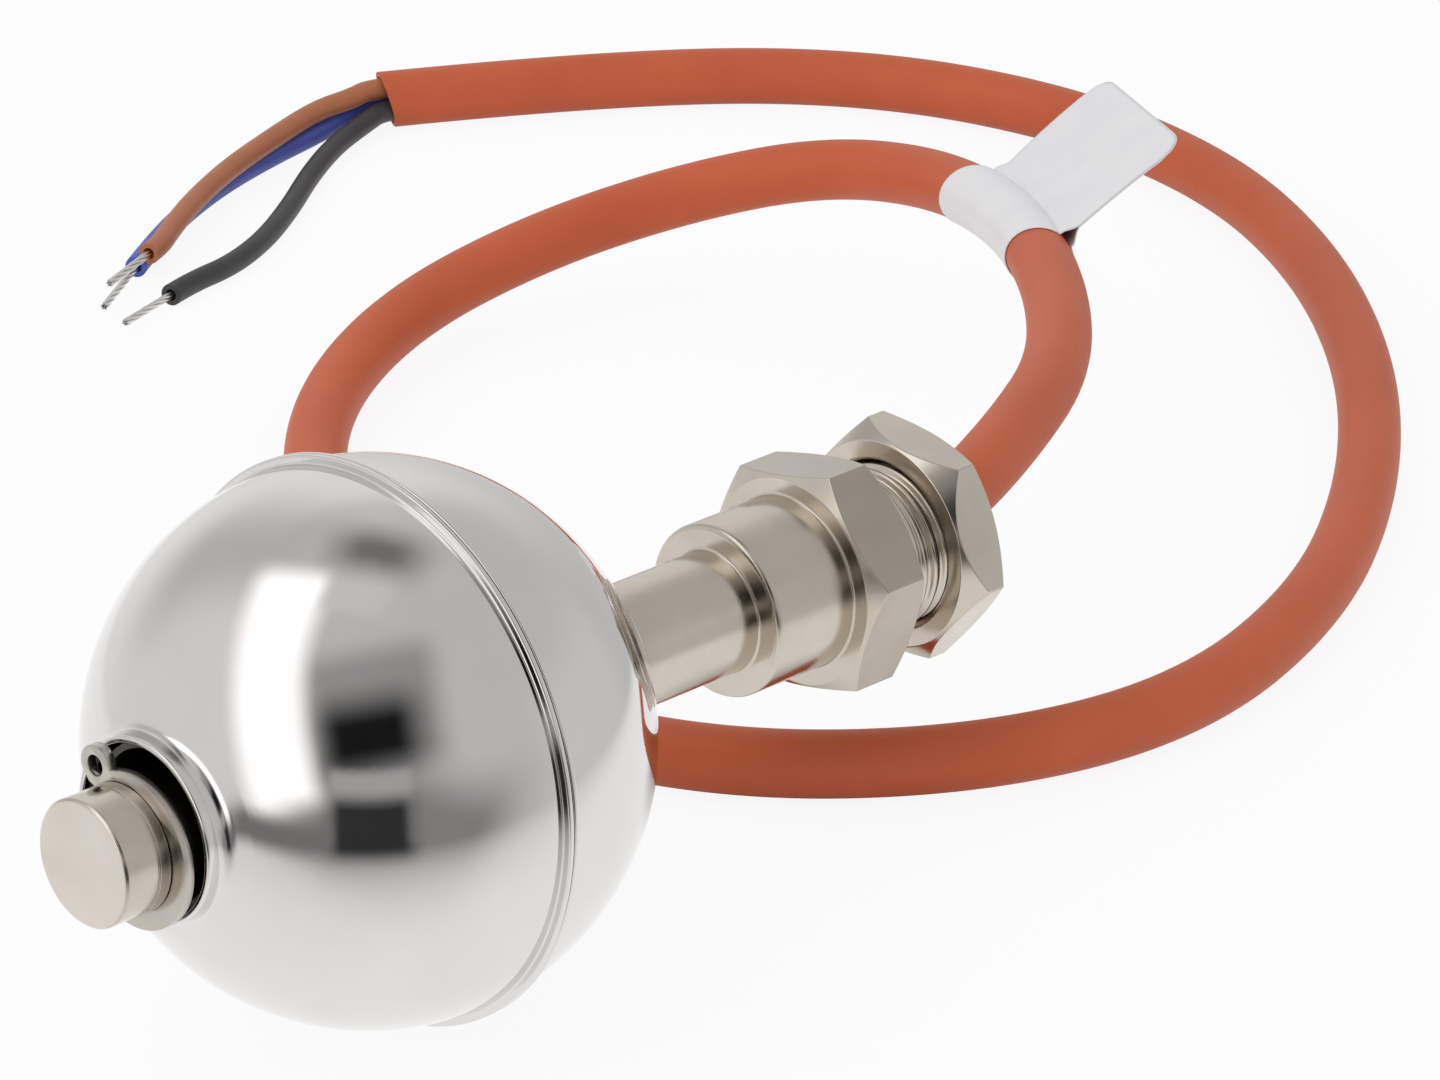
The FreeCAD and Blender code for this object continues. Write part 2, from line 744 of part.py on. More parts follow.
def make_core(colour, end, along, side):
    """One insulated core out of the cable's end, with its bare tinned tip."""
    clock = math.radians(CORE_CLOCK[colour])
    offset = side * math.cos(clock) + Z_AXIS * math.sin(clock)
    start = end + offset * value("core_spread")
    route = [start, start + along * CORE_STRAIGHT] + CORE_ROUTES[colour]
    edges = bent_path(route, "core_" + colour)
    make_tube("core_" + colour, edges, "core_radius")
    tip = edges[-1].Vertexes[-1].Point
    heading = tip - edges[-1].Vertexes[0].Point
    strands = doc.addObject("Part::Cylinder", "strands_" + colour)
    strands.Label = "strands_" + colour
    strands.setExpression("Radius", bound("strand_radius"))
    strands.setExpression("Height", bound("strand_length"))
    strands.Placement = FreeCAD.Placement(tip, FreeCAD.Rotation(Z_AXIS, heading))
    pieces.append(strands)


def swept(edges, profile):
    """Solid that a closed wire sweeps along a path."""
    return Part.Wire(edges).makePipeShell([profile], True, False)


def make_label(edges):
    """Film wrapped round the cable's bend, its two ends stuck together as a flag."""
    start = edges[0].Vertexes[0].Point
    along = edges[0].Vertexes[-1].Point - start
    along.normalize()
    across = along.cross(Z_AXIS)
    across.normalize()
    rise = math.radians(value("flag_rise"))
    outward = across * math.cos(rise) + across.cross(along) * math.sin(rise)
    inner = value("cable_radius + label_ease")
    outer = inner + value("label_thickness")
    half = along.cross(outward) * value("label_thickness")
    root = start + outward * (inner + value("label_thickness") / 2)
    end = start + outward * (outer + value("flag_length"))
    flag = Part.makePolygon([root - half, end - half, end + half, root + half, root - half])
    rings = [Part.Wire(Part.Circle(start, along, radius).toShape()) for radius in (inner, outer)]
    hole, sleeve = (swept(edges, ring) for ring in rings)
    feature = doc.addObject("Part::Feature", "cable_label")
    feature.Label = "cable_label"
    feature.Shape = sleeve.fuse(swept(edges, flag)).cut(hole).removeSplitter()
    pieces.append(feature)


def make_cable():
    """Cable from its seat in the stub to its cut end, with its cores and its flag label."""
    height = value("axis_height")
    first = value("cable_start")
    route = [(first, 0.0, height), (first + CABLE_FIRST_BEND, 0.0, height)] + CABLE_ROUTE
    edges = bent_path(route, "cable_jacket")
    make_tube("cable_jacket", edges, "cable_radius")
    wrapped = 2 * LABEL_POINT - 2
    make_label(edges[wrapped:wrapped + 3])
    end = edges[-1].Vertexes[-1].Point
    along = end - edges[-1].Vertexes[0].Point
    along.normalize()
    side = Z_AXIS.cross(along)
    for colour in CORE_ROUTES:
        make_core(colour, end, along, side)


def check_pieces():
    """Stops if anything in the document failed or a piece isn't one sound solid."""
    doc.recompute()
    failed = [item.Name for item in doc.Objects if {"Invalid", "Error"} & set(item.State)]
    if failed:
        raise RuntimeError(f"failed objects: {failed}")
    for piece in pieces:
        shape = piece.Shape
        if shape.isNull() or not shape.isValid() or len(shape.Solids) != 1:
            raise RuntimeError(f"{piece.Label} is not one valid solid")


def main():
    """Builds every piece and writes one file for each."""
    fill_sheet()
    make_stem()
    make_lock_nut()
    make_retaining_ring()
    make_float_half("float_rear_shell", "0")
    make_float_half("float_front_shell", "180")
    make_float_core()
    make_magnet_clip("magnet_clip_rear", "0")
    make_magnet_clip("magnet_clip_front", "180")
    make_reed_board()
    make_reed_glass()
    make_blade("reed_common_blade", "0", "common_width", "0", "180")
    make_blade("reed_open_contact", OPEN_HEIGHT, "contact_width", "contact_spread", "0")
    make_blade("reed_closed_contact", CLOSED_HEIGHT, "contact_width", "-contact_spread", "0")
    make_board_lead("board_lead_blue", "lead_spread", "lead_height")
    make_board_lead("board_lead_black", "-lead_spread", "lead_height")
    make_board_lead("board_lead_brown", "0", "lead_height + lead_rise")
    make_potting()
    make_cable()
    check_pieces()
    os.makedirs("parts", exist_ok=True)
    for piece in pieces:
        piece.Shape.exportStep(f"parts/{piece.Label}.step")
        print(piece.Label, round(piece.Shape.Volume, 2))


main()
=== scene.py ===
"""Studio model of a liquid level sensor: a ball float on a plated stem, a lock nut and a flying cable.

Sizes are in millimetres and angles in degrees until a mesh or a lamp is made, which turns them to metres
and radians. The stem lies along X with its free end at -X, and the floor is Z = 0. A clock angle runs round
the stem's axis from +Y towards +Z.
"""

import logging
import math
from dataclasses import dataclass, replace
from enum import Enum
from typing import NamedTuple

import bmesh
import bpy
import numpy as np
from mathutils import Matrix, Vector


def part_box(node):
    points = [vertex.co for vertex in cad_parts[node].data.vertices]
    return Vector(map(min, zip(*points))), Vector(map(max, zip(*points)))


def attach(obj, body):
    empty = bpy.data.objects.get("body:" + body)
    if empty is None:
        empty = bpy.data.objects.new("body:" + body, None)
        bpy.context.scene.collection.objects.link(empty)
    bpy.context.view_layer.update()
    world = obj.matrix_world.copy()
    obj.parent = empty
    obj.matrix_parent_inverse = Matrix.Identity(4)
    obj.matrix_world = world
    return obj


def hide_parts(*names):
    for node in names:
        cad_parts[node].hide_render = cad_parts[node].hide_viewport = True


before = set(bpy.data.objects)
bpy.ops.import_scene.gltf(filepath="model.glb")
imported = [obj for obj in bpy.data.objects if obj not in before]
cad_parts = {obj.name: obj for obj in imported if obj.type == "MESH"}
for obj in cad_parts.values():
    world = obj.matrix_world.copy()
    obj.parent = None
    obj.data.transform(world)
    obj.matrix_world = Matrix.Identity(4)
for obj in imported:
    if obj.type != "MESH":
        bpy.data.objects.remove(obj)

LOG = logging.getLogger("level_sensor")
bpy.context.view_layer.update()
MM = 0.001
FULL_TURN = 360.0
SHARP_ANGLE = 50.0
TINY = 1e-12

Array = np.ndarray
Triple = tuple[float, float, float]
Colour = Triple
Socket = bpy.types.NodeSocket
Piece = bpy.types.Object


class Body(str, Enum):
    """The bodies that the joints move apart."""

    STEM = "stem"
    FLOAT = "float"
    NUT = "nut"


class Slot(str, Enum):
    """The material slots of the sensor's record."""

    PLATED_BRASS = "plated_brass"
    POLISHED_STEEL = "polished_steel"
    SPRING_STEEL = "spring_steel"
    FERRITE = "ferrite"
    BOARD_LAMINATE = "board_laminate"
    REED_GLASS = "reed_glass"
    REED_METAL = "reed_metal"
    POTTING = "potting"
    ORANGE_JACKET = "orange_jacket"
    LABEL_FILM = "label_film"
    TINNED_COPPER = "tinned_copper"
    BROWN_CORE = "brown_core"
    BLUE_CORE = "blue_core"
    BLACK_CORE = "black_core"


class Fade(str, Enum):
    """The ways in which a shader node passes from one value to another."""

    EVEN = "LINEAR"
    SMOOTH = "SMOOTHSTEP"


@dataclass(frozen=True)
class Span:
    """Where a CAD node lies along the stem and above the floor.

    Attributes:
        front: its end towards the stem's free end.
        rear: its other end.
        height: height of its middle.
        reach: half its height.
    """

    front: float
    rear: float
    height: float
    reach: float

    @classmethod
    def of(cls, node: str) -> "Span":
        """Reads a node's box from the frame."""
        low, high = (np.array(corner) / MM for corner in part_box(node))
        return cls(float(low[0]), float(high[0]), float(low[2] + high[2]) / 2, float(high[2] - low[2]) / 2)


# Surfaces


def lattice(rows: int, columns: int, loop_rows: bool, loop_columns: bool) -> Array:
    """Joins neighbouring rows and columns of a grid by quads.

    Args:
        rows: number of rows.
        columns: number of columns.
        loop_rows: whether the last row joins the first.
        loop_columns: whether the last column joins the first.

    Returns:
        Corner numbers of the quads, four to a row.
    """
    row, column = np.meshgrid(
        np.arange(rows if loop_rows else rows - 1),
        np.arange(columns if loop_columns else columns - 1),
        indexing="ij",
    )
    next_row, next_column = (row + 1) % rows, (column + 1) % columns
    corners = [(row, column), (row, next_column), (next_row, next_column), (next_row, column)]
    return np.stack([r * columns + c for r, c in corners], -1).reshape(-1, 4)


def volume(points: Array, quads: Array) -> float:
    """Signed volume under a skin of quads: the sum of the wedges from the origin to each half quad.

    Args:
        points: one point a row.
        quads: corner numbers, four to a row.

    Returns:
        The volume, positive where the quads face outwards.
    """
    a, b, c, d = (points[quads[:, k]] for k in range(4))
    halves = np.cross(b, c) + np.cross(c, d)
    return float(np.sum(a * halves)) / 6


def fill_mesh(name: str, points: Array, faces: list[list[int]]) -> Piece:
    """Makes a mesh object at the origin from points in millimetres.

    Args:
        name: the piece's name.
        points: one point a row.
        faces: corner numbers of each face.

    Returns:
        The new object, smooth except at sharp edges.
    """
    mesh = bpy.data.meshes.new(name)
    mesh.from_pydata((points * MM).tolist(), [], faces)
    mesh.validate()
    mesh.shade_smooth()
    mesh.set_sharp_from_angle(angle=math.radians(SHARP_ANGLE))
    piece = bpy.data.objects.new(name, mesh)
    bpy.context.scene.collection.objects.link(piece)
    return piece


def skin(name: str, grids: list[Array], loop_rows: bool = False) -> Piece:
    """Makes a closed piece from grids of points whose columns run round.

    Rows that don't loop are closed at both ends by a fan to the row's middle. The faces are turned outwards
    by the sign of the volume that they enclose.

    Args:
        name: the piece's name.
        grids: arrays of rows, columns and three coordinates.
        loop_rows: whether the last row of each grid joins its first.

    Returns:
        The new object.
    """
    points: list[Array] = []
    faces: list[list[int]] = []
    start = 0
    for grid in grids:
        rows, columns = grid.shape[:2]
        cloud = grid.reshape(-1, 3)
        shifted = cloud - cloud.mean(0)
        quads = lattice(rows, columns, loop_rows, True)
        outward = volume(shifted, quads) > 0
        made = [quads]
        if not loop_rows:
            ring = np.arange(columns)
            after = np.roll(ring, -1)
            last = (rows - 1) * columns
            middle = len(cloud)
            cloud = np.vstack([cloud, grid[0].mean(0), grid[-1].mean(0)])
            made.append(np.stack([after, ring, np.full(columns, middle)], -1))
            made.append(np.stack([last + ring, last + after, np.full(columns, middle + 1)], -1))
        for part in made:
            faces += (start + (part if outward else part[:, ::-1])).tolist()
        points.append(cloud)
        start += len(cloud)
    return fill_mesh(name, np.vstack(points), faces)


def unit(vectors: Array) -> Array:
    """Vectors scaled to length one."""
    return vectors / np.maximum(np.linalg.norm(vectors, axis=-1, keepdims=True), TINY)


def smooth_step(low: float, high: float, value: Array) -> Array:
    """Cubic step: 0 below low, 1 above high, 3t2 - 2t3 between."""
    share = np.clip((value - low) / (high - low), 0, 1)
    return share * share * (3 - 2 * share)


def smooth_max(first: Array, second: Array, width: float) -> Array:
    """The larger of two curves, with a parabola of the given width where they cross."""
    near = np.maximum(width - np.abs(first - second), 0) / width
    return np.maximum(first, second) + near * near * width / 4


ARC_STEPS = 6
ROWS_PER_CORNER = ARC_STEPS + 2
LEG_SHARE = 0.42
HOLD_SHARE = 0.25


def rounded(corners: Array, reaches: list[float]) -> Array:
    """Rounds the inner corners of an open outline.

    Each corner becomes a quadratic curve that leaves its two legs at the given reach, which is limited to a
    share of the shorter leg. One more point on each leg holds the flat beside it flat.

    Args:
        corners: points along the first axis, coordinates along the last.
        reaches: a reach for each inner corner.

    Returns:
        The rounded outline, with ROWS_PER_CORNER points for each inner corner.
    """
    here = corners[1:-1]
    back, onward = corners[:-2] - here, corners[2:] - here
    legs = np.minimum(np.linalg.norm(back, axis=-1), np.linalg.norm(onward, axis=-1))
    wanted = np.reshape(reaches, (-1,) + (1,) * (legs.ndim - 1))
    reach = np.minimum(wanted, LEG_SHARE * legs)[..., None]
    start, end = here + unit(back) * reach, here + unit(onward) * reach
    t = np.linspace(0, 1, ARC_STEPS)
    curve = [(1 - s) ** 2 * start + 2 * s * (1 - s) * here + s * s * end for s in t]
    before = start + unit(back) * reach * HOLD_SHARE
    after = end + unit(onward) * reach * HOLD_SHARE
    stretched = np.stack([before, *curve, after], 1)
    inner = stretched.reshape((-1,) + corners.shape[1:])
    return np.concatenate([corners[:1], inner, corners[-1:]])


def turn(profile: Array, clock: Array, height: float) -> Array:
    """Carries a profile of (x, radius) round an axis along X.

    A point is (x, r cos(clock), height + r sin(clock)).

    Args:
        profile: rows of (x, radius), or rows and columns of them.
        clock: clock angles of the columns, or of each row's columns.
        height: the axis's height.

    Returns:
        Grid of points.
    """
    if profile.ndim == 2:
        profile = profile[:, None]
    angle = np.radians(clock)
    x, r, angle = np.broadcast_arrays(profile[..., 0], profile[..., 1], angle)
    return np.stack([x, r * np.cos(angle), height + r * np.sin(angle)], -1)


def round_clock(columns: int, first: float = 0.0) -> Array:
    """Evenly spaced clock angles of a full turn."""
    return first + FULL_TURN * np.arange(columns) / columns


class Corner(NamedTuple):
    """A corner of a turned outline.

    Attributes:
        x: its place along the axis, for all columns or for each.
        radius: its distance from the axis, for all columns or for each.
        reach: reach of its rounding.
        hexed: whether its columns crowd at a hexagon's corners.
    """

    x: Array | float
    radius: Array | float
    reach: float = 0.0
    hexed: bool = False


@dataclass(frozen=True)
class Hexagon:
    """A hexagon across the stem, with slightly rounded corners.

    Attributes:
        across: width between opposite flats.
        clock: clock angle of one corner.
        corner: radius of a rounded corner.
    """

    across: float
    clock: float
    corner: float = 0.22

    SIDES = 6
    HALF_SIDE = 30.0
    FLAT_STEPS = 24
    CORNER_STEPS = 5
    HOLD_ANGLE = 0.12

    def flat_edge(self) -> float:
        """Angle from a flat's middle at which its rounded corner starts."""
        inner = self.across / 2 - self.corner
        return math.degrees(math.atan(inner * math.tan(math.radians(self.HALF_SIDE)) / (self.across / 2)))

    def clocks(self) -> Array:
        """Works out the columns' clock angles: spread over each flat and crowded at each corner.

        Returns:
            The angles.
        """
        edge = self.flat_edge()
        flat = np.linspace(self.HOLD_ANGLE - edge, edge - self.HOLD_ANGLE, self.FLAT_STEPS)
        corner = np.linspace(edge, 2 * self.HALF_SIDE - edge, self.CORNER_STEPS)
        middles = self.clock + self.HALF_SIDE + 2 * self.HALF_SIDE * np.arange(self.SIDES)
        return (middles[:, None] + np.concatenate([flat, corner])).ravel()

    def even(self) -> Array:
        """Evenly spaced clock angles, as many as the crowded ones and from the same first."""
        crowded = self.clocks()
        return round_clock(len(crowded), crowded[0])

    def radius(self) -> Array:
        """Distance of the outline from the axis at each column.

        On a flat it is a / cos(t) with t the angle from the flat's middle. In a corner it is the far
        crossing of the ray with the corner's circle.

        Returns:
            One radius for each clock angle.
        """
        half = self.across / 2
        angle = (self.clocks() - self.clock) % (2 * self.HALF_SIDE) - self.HALF_SIDE
        flat = half / np.cos(np.radians(angle))
        centre = (half - self.corner) / math.cos(math.radians(self.HALF_SIDE))
        away = np.radians(self.HALF_SIDE - np.abs(angle))
        inside = np.maximum(self.corner**2 - (centre * np.sin(away)) ** 2, 0)
        arc = centre * np.cos(away) + np.sqrt(inside)
        return np.where(np.abs(angle) < self.flat_edge(), flat, arc)

    def chamfer(self, flat: float, slope: float) -> Array:
        """Length at each column of a chamfer that leaves its face at a radius, by a slope."""
        return (self.radius() - flat) * math.tan(math.radians(slope))

    def carry(self, corners: list[Corner], height: float) -> Array:
        """Rounds an outline and carries it round the axis, with crowded columns where it has the hexagon's.

        Args:
            corners: the outline's corners.
            height: the axis's height.

        Returns:
            Grid of points.
        """
        crowded, even = self.clocks(), self.even()
        spread = [np.broadcast_arrays(corner.x, corner.radius, even)[:2] for corner in corners]
        outline = rounded(np.moveaxis(np.array(spread), 1, -1), [corner.reach for corner in corners[1:-1]])
        hexed = np.array([corner.hexed for corner in corners], float)
        shares = np.concatenate([hexed[:1], np.repeat(hexed[1:-1], ROWS_PER_CORNER), hexed[-1:]])
        return turn(outline, even + shares[:, None] * (crowded - even), height)


THREAD_PITCH = 1.5
CREST_SHARE = 0.12
ROOT_SHARE = 0.78


def thread_depth(x: Array, clock: Array, pitch: float, depth: float) -> Array:
    """How far a screw thread lies below its crest.

    The place along one pitch is x / pitch - clock / 360. The crest and the root are flat, and between them
    the depth follows a cubic step.

    Args:
        x: place along the axis.
        clock: clock angle.
        pitch: length of one turn.
        depth: depth of the root.

    Returns:
        Depth at each point.
    """
    turns = x / pitch - clock / FULL_TURN
    away = 2 * np.abs(turns - np.round(turns))
    return depth * smooth_step(CREST_SHARE, ROOT_SHARE, away)


def add_spline(curve: bpy.types.Curve, kind: str, points: Array) -> bpy.types.Spline:
    """Adds a spline to a curve.

    Args:
        curve: the curve.
        kind: Blender's name for the kind of spline.
        points: its control points, in millimetres.

    Returns:
        The spline.
    """
    spline = curve.splines.new(kind)
    spline.points.add(len(points) - 1)
    spline.points.foreach_set("co", np.column_stack([points * MM, np.ones(len(points))]).ravel())
    return spline


def mesh_of(curve: bpy.types.Curve) -> bpy.types.Mesh:
    """Turns a curve into a mesh and removes the curve.

    Args:
        curve: the curve.

    Returns:
        The mesh.
    """
    holder = bpy.data.objects.new(curve.name, curve)
    mesh = bpy.data.meshes.new_from_object(holder)
    bpy.data.objects.remove(holder)
    bpy.data.curves.remove(curve)
    return mesh


def take_apart(mesh: bpy.types.Mesh) -> tuple[Array, list[list[int]]]:
    """Reads a mesh and removes it.

    Args:
        mesh: the mesh.

    Returns:
        Its points in millimetres, and the corner numbers of each face.
    """
    points = np.empty(len(mesh.vertices) * 3)
    mesh.vertices.foreach_get("co", points)
    faces = [list(polygon.vertices) for polygon in mesh.polygons]
    bpy.data.meshes.remove(mesh)
    return points.reshape(-1, 3) / MM, faces


def spline_points(route: Array, per_run: int) -> Array:
    """Reads points along the smooth line that has a route's points as its controls.

    Args:
        route: control points in millimetres.
        per_run: points to read for each control point.

    Returns:
        Points in millimetres, from the route's start to its end.
    """
    curve = bpy.data.curves.new("route", "CURVE")
    curve.dimensions = "3D"
    curve.resolution_u = per_run
    spline = add_spline(curve, "NURBS", route)
    spline.order_u = 3
    spline.use_endpoint_u = True
    points, _ = take_apart(mesh_of(curve))
    return points


def length_along(points: Array) -> Array:
    """Distance of each point from the first, along the line."""
    return np.concatenate([[0], np.cumsum(np.linalg.norm(np.diff(points, axis=0), axis=1))])


@dataclass(frozen=True)
class Track:
    """A line with its directions: along it, to its left and up from it.

    Attributes:
        points: points of the line.
        along: direction of travel at each point.
        left: level direction to the left of travel.
        above: direction square to both.
    """

    points: Array
    along: Array
    left: Array
    above: Array

    STEP = 0.25

    @classmethod
    def facing(cls, points: Array, travel: Array) -> "Track":
        """Track through points with a given travel.

        Args:
            points: points of the line.
            travel: direction of travel at each point, of any length.

        Returns:
            The track.
        """
        along = unit(travel)
        left = unit(np.cross((0.0, 0.0, 1.0), along))
        return cls(points, along, left, np.cross(along, left))

    @classmethod
    def through(cls, points: Array) -> "Track":
        """Track through points, with the travel from their differences."""
        return cls.facing(points, np.gradient(points, axis=0))

    def places(self, distance: Array) -> Array:
        """Points at distances along the line from its start."""
        whole = length_along(self.points)
        return np.stack([np.interp(distance, whole, self.points[:, k]) for k in range(3)], -1)

    def at(self, distance: Array) -> "Track":
        """Track at distances along the line, in the shape of their array."""
        travel = self.places(distance + self.STEP) - self.places(distance - self.STEP)
        return self.facing(self.places(distance), travel)

    def onward(self, distance: Array) -> "Track":
        """Track straight on from the last point, at distances past it."""
        ends = (np.tile(part[-1], (len(distance), 1)) for part in (self.along, self.left, self.above))
        return Track(self.points[-1] + distance[:, None] * self.along[-1], *ends)

    def across(self, angle: Array) -> Array:
        """Directions square to the line: cos(angle) left + sin(angle) above."""
        return np.cos(angle)[..., None] * self.left + np.sin(angle)[..., None] * self.above

    def ring(self, radius: Array | float, columns: int) -> Array:
        """Rings round the line.

        A point is the line's point + radius (cos(a) left + sin(a) above).

        Args:
            radius: one radius, or one for each point.
            columns: points in a ring.

        Returns:
            Grid of points.
        """
        angle = np.radians(round_clock(columns))[:, None]
        radii = np.broadcast_to(radius, len(self.points))[:, None]
        return np.swapaxes(self.points + radii * self.across(angle), 0, 1)


def assign(piece: Piece, finish: "Finish", body: Body, *nodes: str) -> Piece:
    """Dresses a piece and fixes it to its body.

    Args:
        piece: the new piece.
        finish: its finish.
        body: the body that it moves with.
        nodes: CAD nodes that it stands for.

    Returns:
        The piece.
    """
    piece.data.materials.append(finish.material())
    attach(piece, body.value)
    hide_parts(*nodes)
    LOG.info("%s: %d points on %s", piece.name, len(piece.data.vertices), body.value)
    return piece


def dress(finish: "Finish", *nodes: str) -> None:
    """Gives CAD nodes that show as they are a finish of their own.

    Args:
        finish: the finish.
        nodes: the nodes' names.
    """
    for name in nodes:
        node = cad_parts[name]
        node.data.materials.clear()
        node.data.materials.append(finish.material())
        LOG.info("%s: carried over in %s", name, finish.slot.value)


# Finishes


class Graph:
    """A node graph that is wired from its inputs to its result."""

    def __init__(self, tree: bpy.types.NodeTree) -> None:
        """Keeps the tree that the nodes go into."""
        self.tree = tree

    def add(self, kind: str, inputs: dict | None = None, **settings: object) -> bpy.types.Node:
        """Adds a node.

        Args:
            kind: Blender's name for the node.
            inputs: sockets or values for its inputs, by name or number.
            settings: values for its properties.

        Returns:
            The node.
        """
        node = self.tree.nodes.new(kind)
        for key, value in settings.items():
            setattr(node, key, value)
        for key, value in (inputs or {}).items():
            self.feed(node.inputs[key], value)
        return node

    def feed(self, socket: Socket, value: object) -> None:
        """Links an input to an output, or sets its value.

        Args:
            socket: the input.
            value: the output or the value.
        """
        if isinstance(value, Socket):
            self.tree.links.new(value, socket)
        else:
            socket.default_value = value

    def between(
        self, value: Socket, low: float, high: float,
        first: float = 0.0, last: float = 1.0, fade: Fade = Fade.EVEN,
    ) -> Socket:
        """Maps a value from one range to another, held at its ends."""
        inputs = {0: value, 1: low, 2: high, 3: first, 4: last}
        return self.add("ShaderNodeMapRange", inputs, interpolation_type=fade.value).outputs[0]

    def math(self, operation: str, first: Socket | float, second: Socket | float = 0.0) -> Socket:
        """One step of arithmetic."""
        return self.add("ShaderNodeMath", {0: first, 1: second}, operation=operation).outputs[0]

    def measure(self, operation: str, first: Socket, second: Vector) -> Socket:
        """Distance or dot product of two vectors."""
        return self.add("ShaderNodeVectorMath", {0: first, 1: second}, operation=operation).outputs[1]

    def mix(self, share: Socket, first: Socket | float, last: Socket | float) -> Socket:
        """Number between two numbers."""
        return self.add("ShaderNodeMix", {0: share, 2: first, 3: last}).outputs[0]

    def blend(self, share: Socket, first: Colour, last: Colour) -> Socket:
        """Colour between two colours."""
        inputs = {0: share, 6: (*first, 1.0), 7: (*last, 1.0)}
        return self.add("ShaderNodeMix", inputs, data_type="RGBA").outputs[2]


class SurfaceGraph(Graph):
    """The graph of one material, on Object coordinates in metres."""

    def __init__(self, name: str) -> None:
        """Starts a material with one shader.

        Args:
            name: the material's name.
        """
        self.result = bpy.data.materials.new(name)
        self.result.use_nodes = True
        super().__init__(self.result.node_tree)
        self.shader = self.tree.nodes["Principled BSDF"]
        self.place = self.add("ShaderNodeTexCoord").outputs["Object"]

    def set(self, **values: object) -> None:
        """Sets or links the shader's inputs, with underscores for the spaces in their names."""
        for key, value in values.items():
            self.feed(self.shader.inputs[key.replace("_", " ")], value)

    def noise(self, grain: Triple, detail: float = 3.0, rough: float = 0.55) -> Socket:
        """Cloudy noise.

        Args:
            grain: size of the clouds along X, Y and Z, in millimetres.
            detail: finer layers on top.
            rough: weight of the finer layers.

        Returns:
            Value from 0 to 1.
        """
        scale = tuple(1 / (size * MM) for size in grain)
        moved = self.add("ShaderNodeMapping", {"Vector": self.place, "Scale": scale})
        inputs = {"Vector": moved.outputs[0], "Scale": 1.0, "Detail": detail, "Roughness": rough}
        return self.add("ShaderNodeTexNoise", inputs).outputs[0]

    def specks(self, spacing: float, size: float) -> Socket:
        """Small round specks: 1 at the middle of some cells and 0 elsewhere.

        Args:
            spacing: distance between cells, in millimetres.
            size: radius of a speck as a share of that distance.

        Returns:
            Value from 0 to 1.
        """
        scale = 1 / (spacing * MM)
        cells = self.add("ShaderNodeTexVoronoi", {"Vector": self.place, "Scale": scale})
        return self.between(cells.outputs["Distance"], size, 0.0)

    def relief(self, height: Socket, depth: float, under: Socket | None = None) -> Socket:
        """Bump of a height from 0 to 1.

        Args:
            height: the height.
            depth: height of 1, in millimetres.
            under: normal to add it to.

        Returns:
            The normal.
        """
        inputs = {"Height": height, "Distance": depth * MM, "Strength": 1.0}
        if under is not None:
            inputs["Normal"] = under
        return self.add("ShaderNodeBump", inputs).outputs[0]


class Finish:
    """A surface finish with a slot and a material that is made once."""

    slot: Slot
    kind: str = "finish"

    def material(self) -> bpy.types.Material:
        """Finds the finish's material, or makes it at its first use.

        Returns:
            The material.
        """
        name = f"{self.slot.value}_{self.kind}"
        found = bpy.data.materials.get(name)
        if found:
            return found
        graph = SurfaceGraph(name)
        self.wire(graph)
        return graph.result

    def wire(self, graph: SurfaceGraph) -> None:
        """Wires the finish into a new material's graph."""
        raise NotImplementedError


@dataclass(frozen=True)
class Metal(Finish):
    """Bare or plated metal with tool lines, a faint stain and fine specks.

    Attributes:
        slot: the record's material slot.
        colour: the metal's colour.
        stain: its colour where it is slightly tarnished.
        roughness: least and greatest roughness.
        lines: size of the tool lines along X, Y and Z.
        line_depth: depth of the tool lines.
        wave: size of the slow unevenness of the surface.
        wave_depth: its depth.
        speck_spacing: distance between fine pits.
        speck_depth: depth of the pits.
        kind: word that tells two finishes of one slot apart.
    """

    slot: Slot
    colour: Colour
    stain: Colour
    roughness: tuple[float, float]
    lines: Triple
    line_depth: float
    wave: float
    wave_depth: float
    speck_spacing: float
    speck_depth: float
    kind: str = "finish"

    SPECK_SHARE = 0.16
    STAIN_SIZE = 9.0
    STAIN_RANGE = (0.35, 0.7)
    STAIN_WEIGHT = 0.6
    LINE_WEIGHT = 0.4
    WEAR_RANGE = (0.2, 0.8)

    def wire(self, graph: SurfaceGraph) -> None:
        """Wires colour to the stain, roughness to the stain and lines, and relief to lines, waves and pits.

        Args:
            graph: the material's graph.
        """
        stain = graph.between(graph.noise((self.STAIN_SIZE,) * 3, detail=4.0), *self.STAIN_RANGE)
        lines = graph.noise(self.lines, detail=2.0)
        stain_wear = graph.math("MULTIPLY", stain, self.STAIN_WEIGHT)
        wear = graph.math("ADD", stain_wear, graph.math("MULTIPLY", lines, self.LINE_WEIGHT))
        pits = graph.specks(self.speck_spacing, self.SPECK_SHARE)
        normal = graph.relief(graph.noise((self.wave,) * 3, detail=1.0), self.wave_depth)
        normal = graph.relief(lines, self.line_depth, normal)
        normal = graph.relief(pits, -self.speck_depth, normal)
        graph.set(
            Base_Color=graph.blend(stain, self.colour, self.stain),
            Metallic=1.0,
            Roughness=graph.between(wear, *self.WEAR_RANGE, *self.roughness),
            Normal=normal,
        )


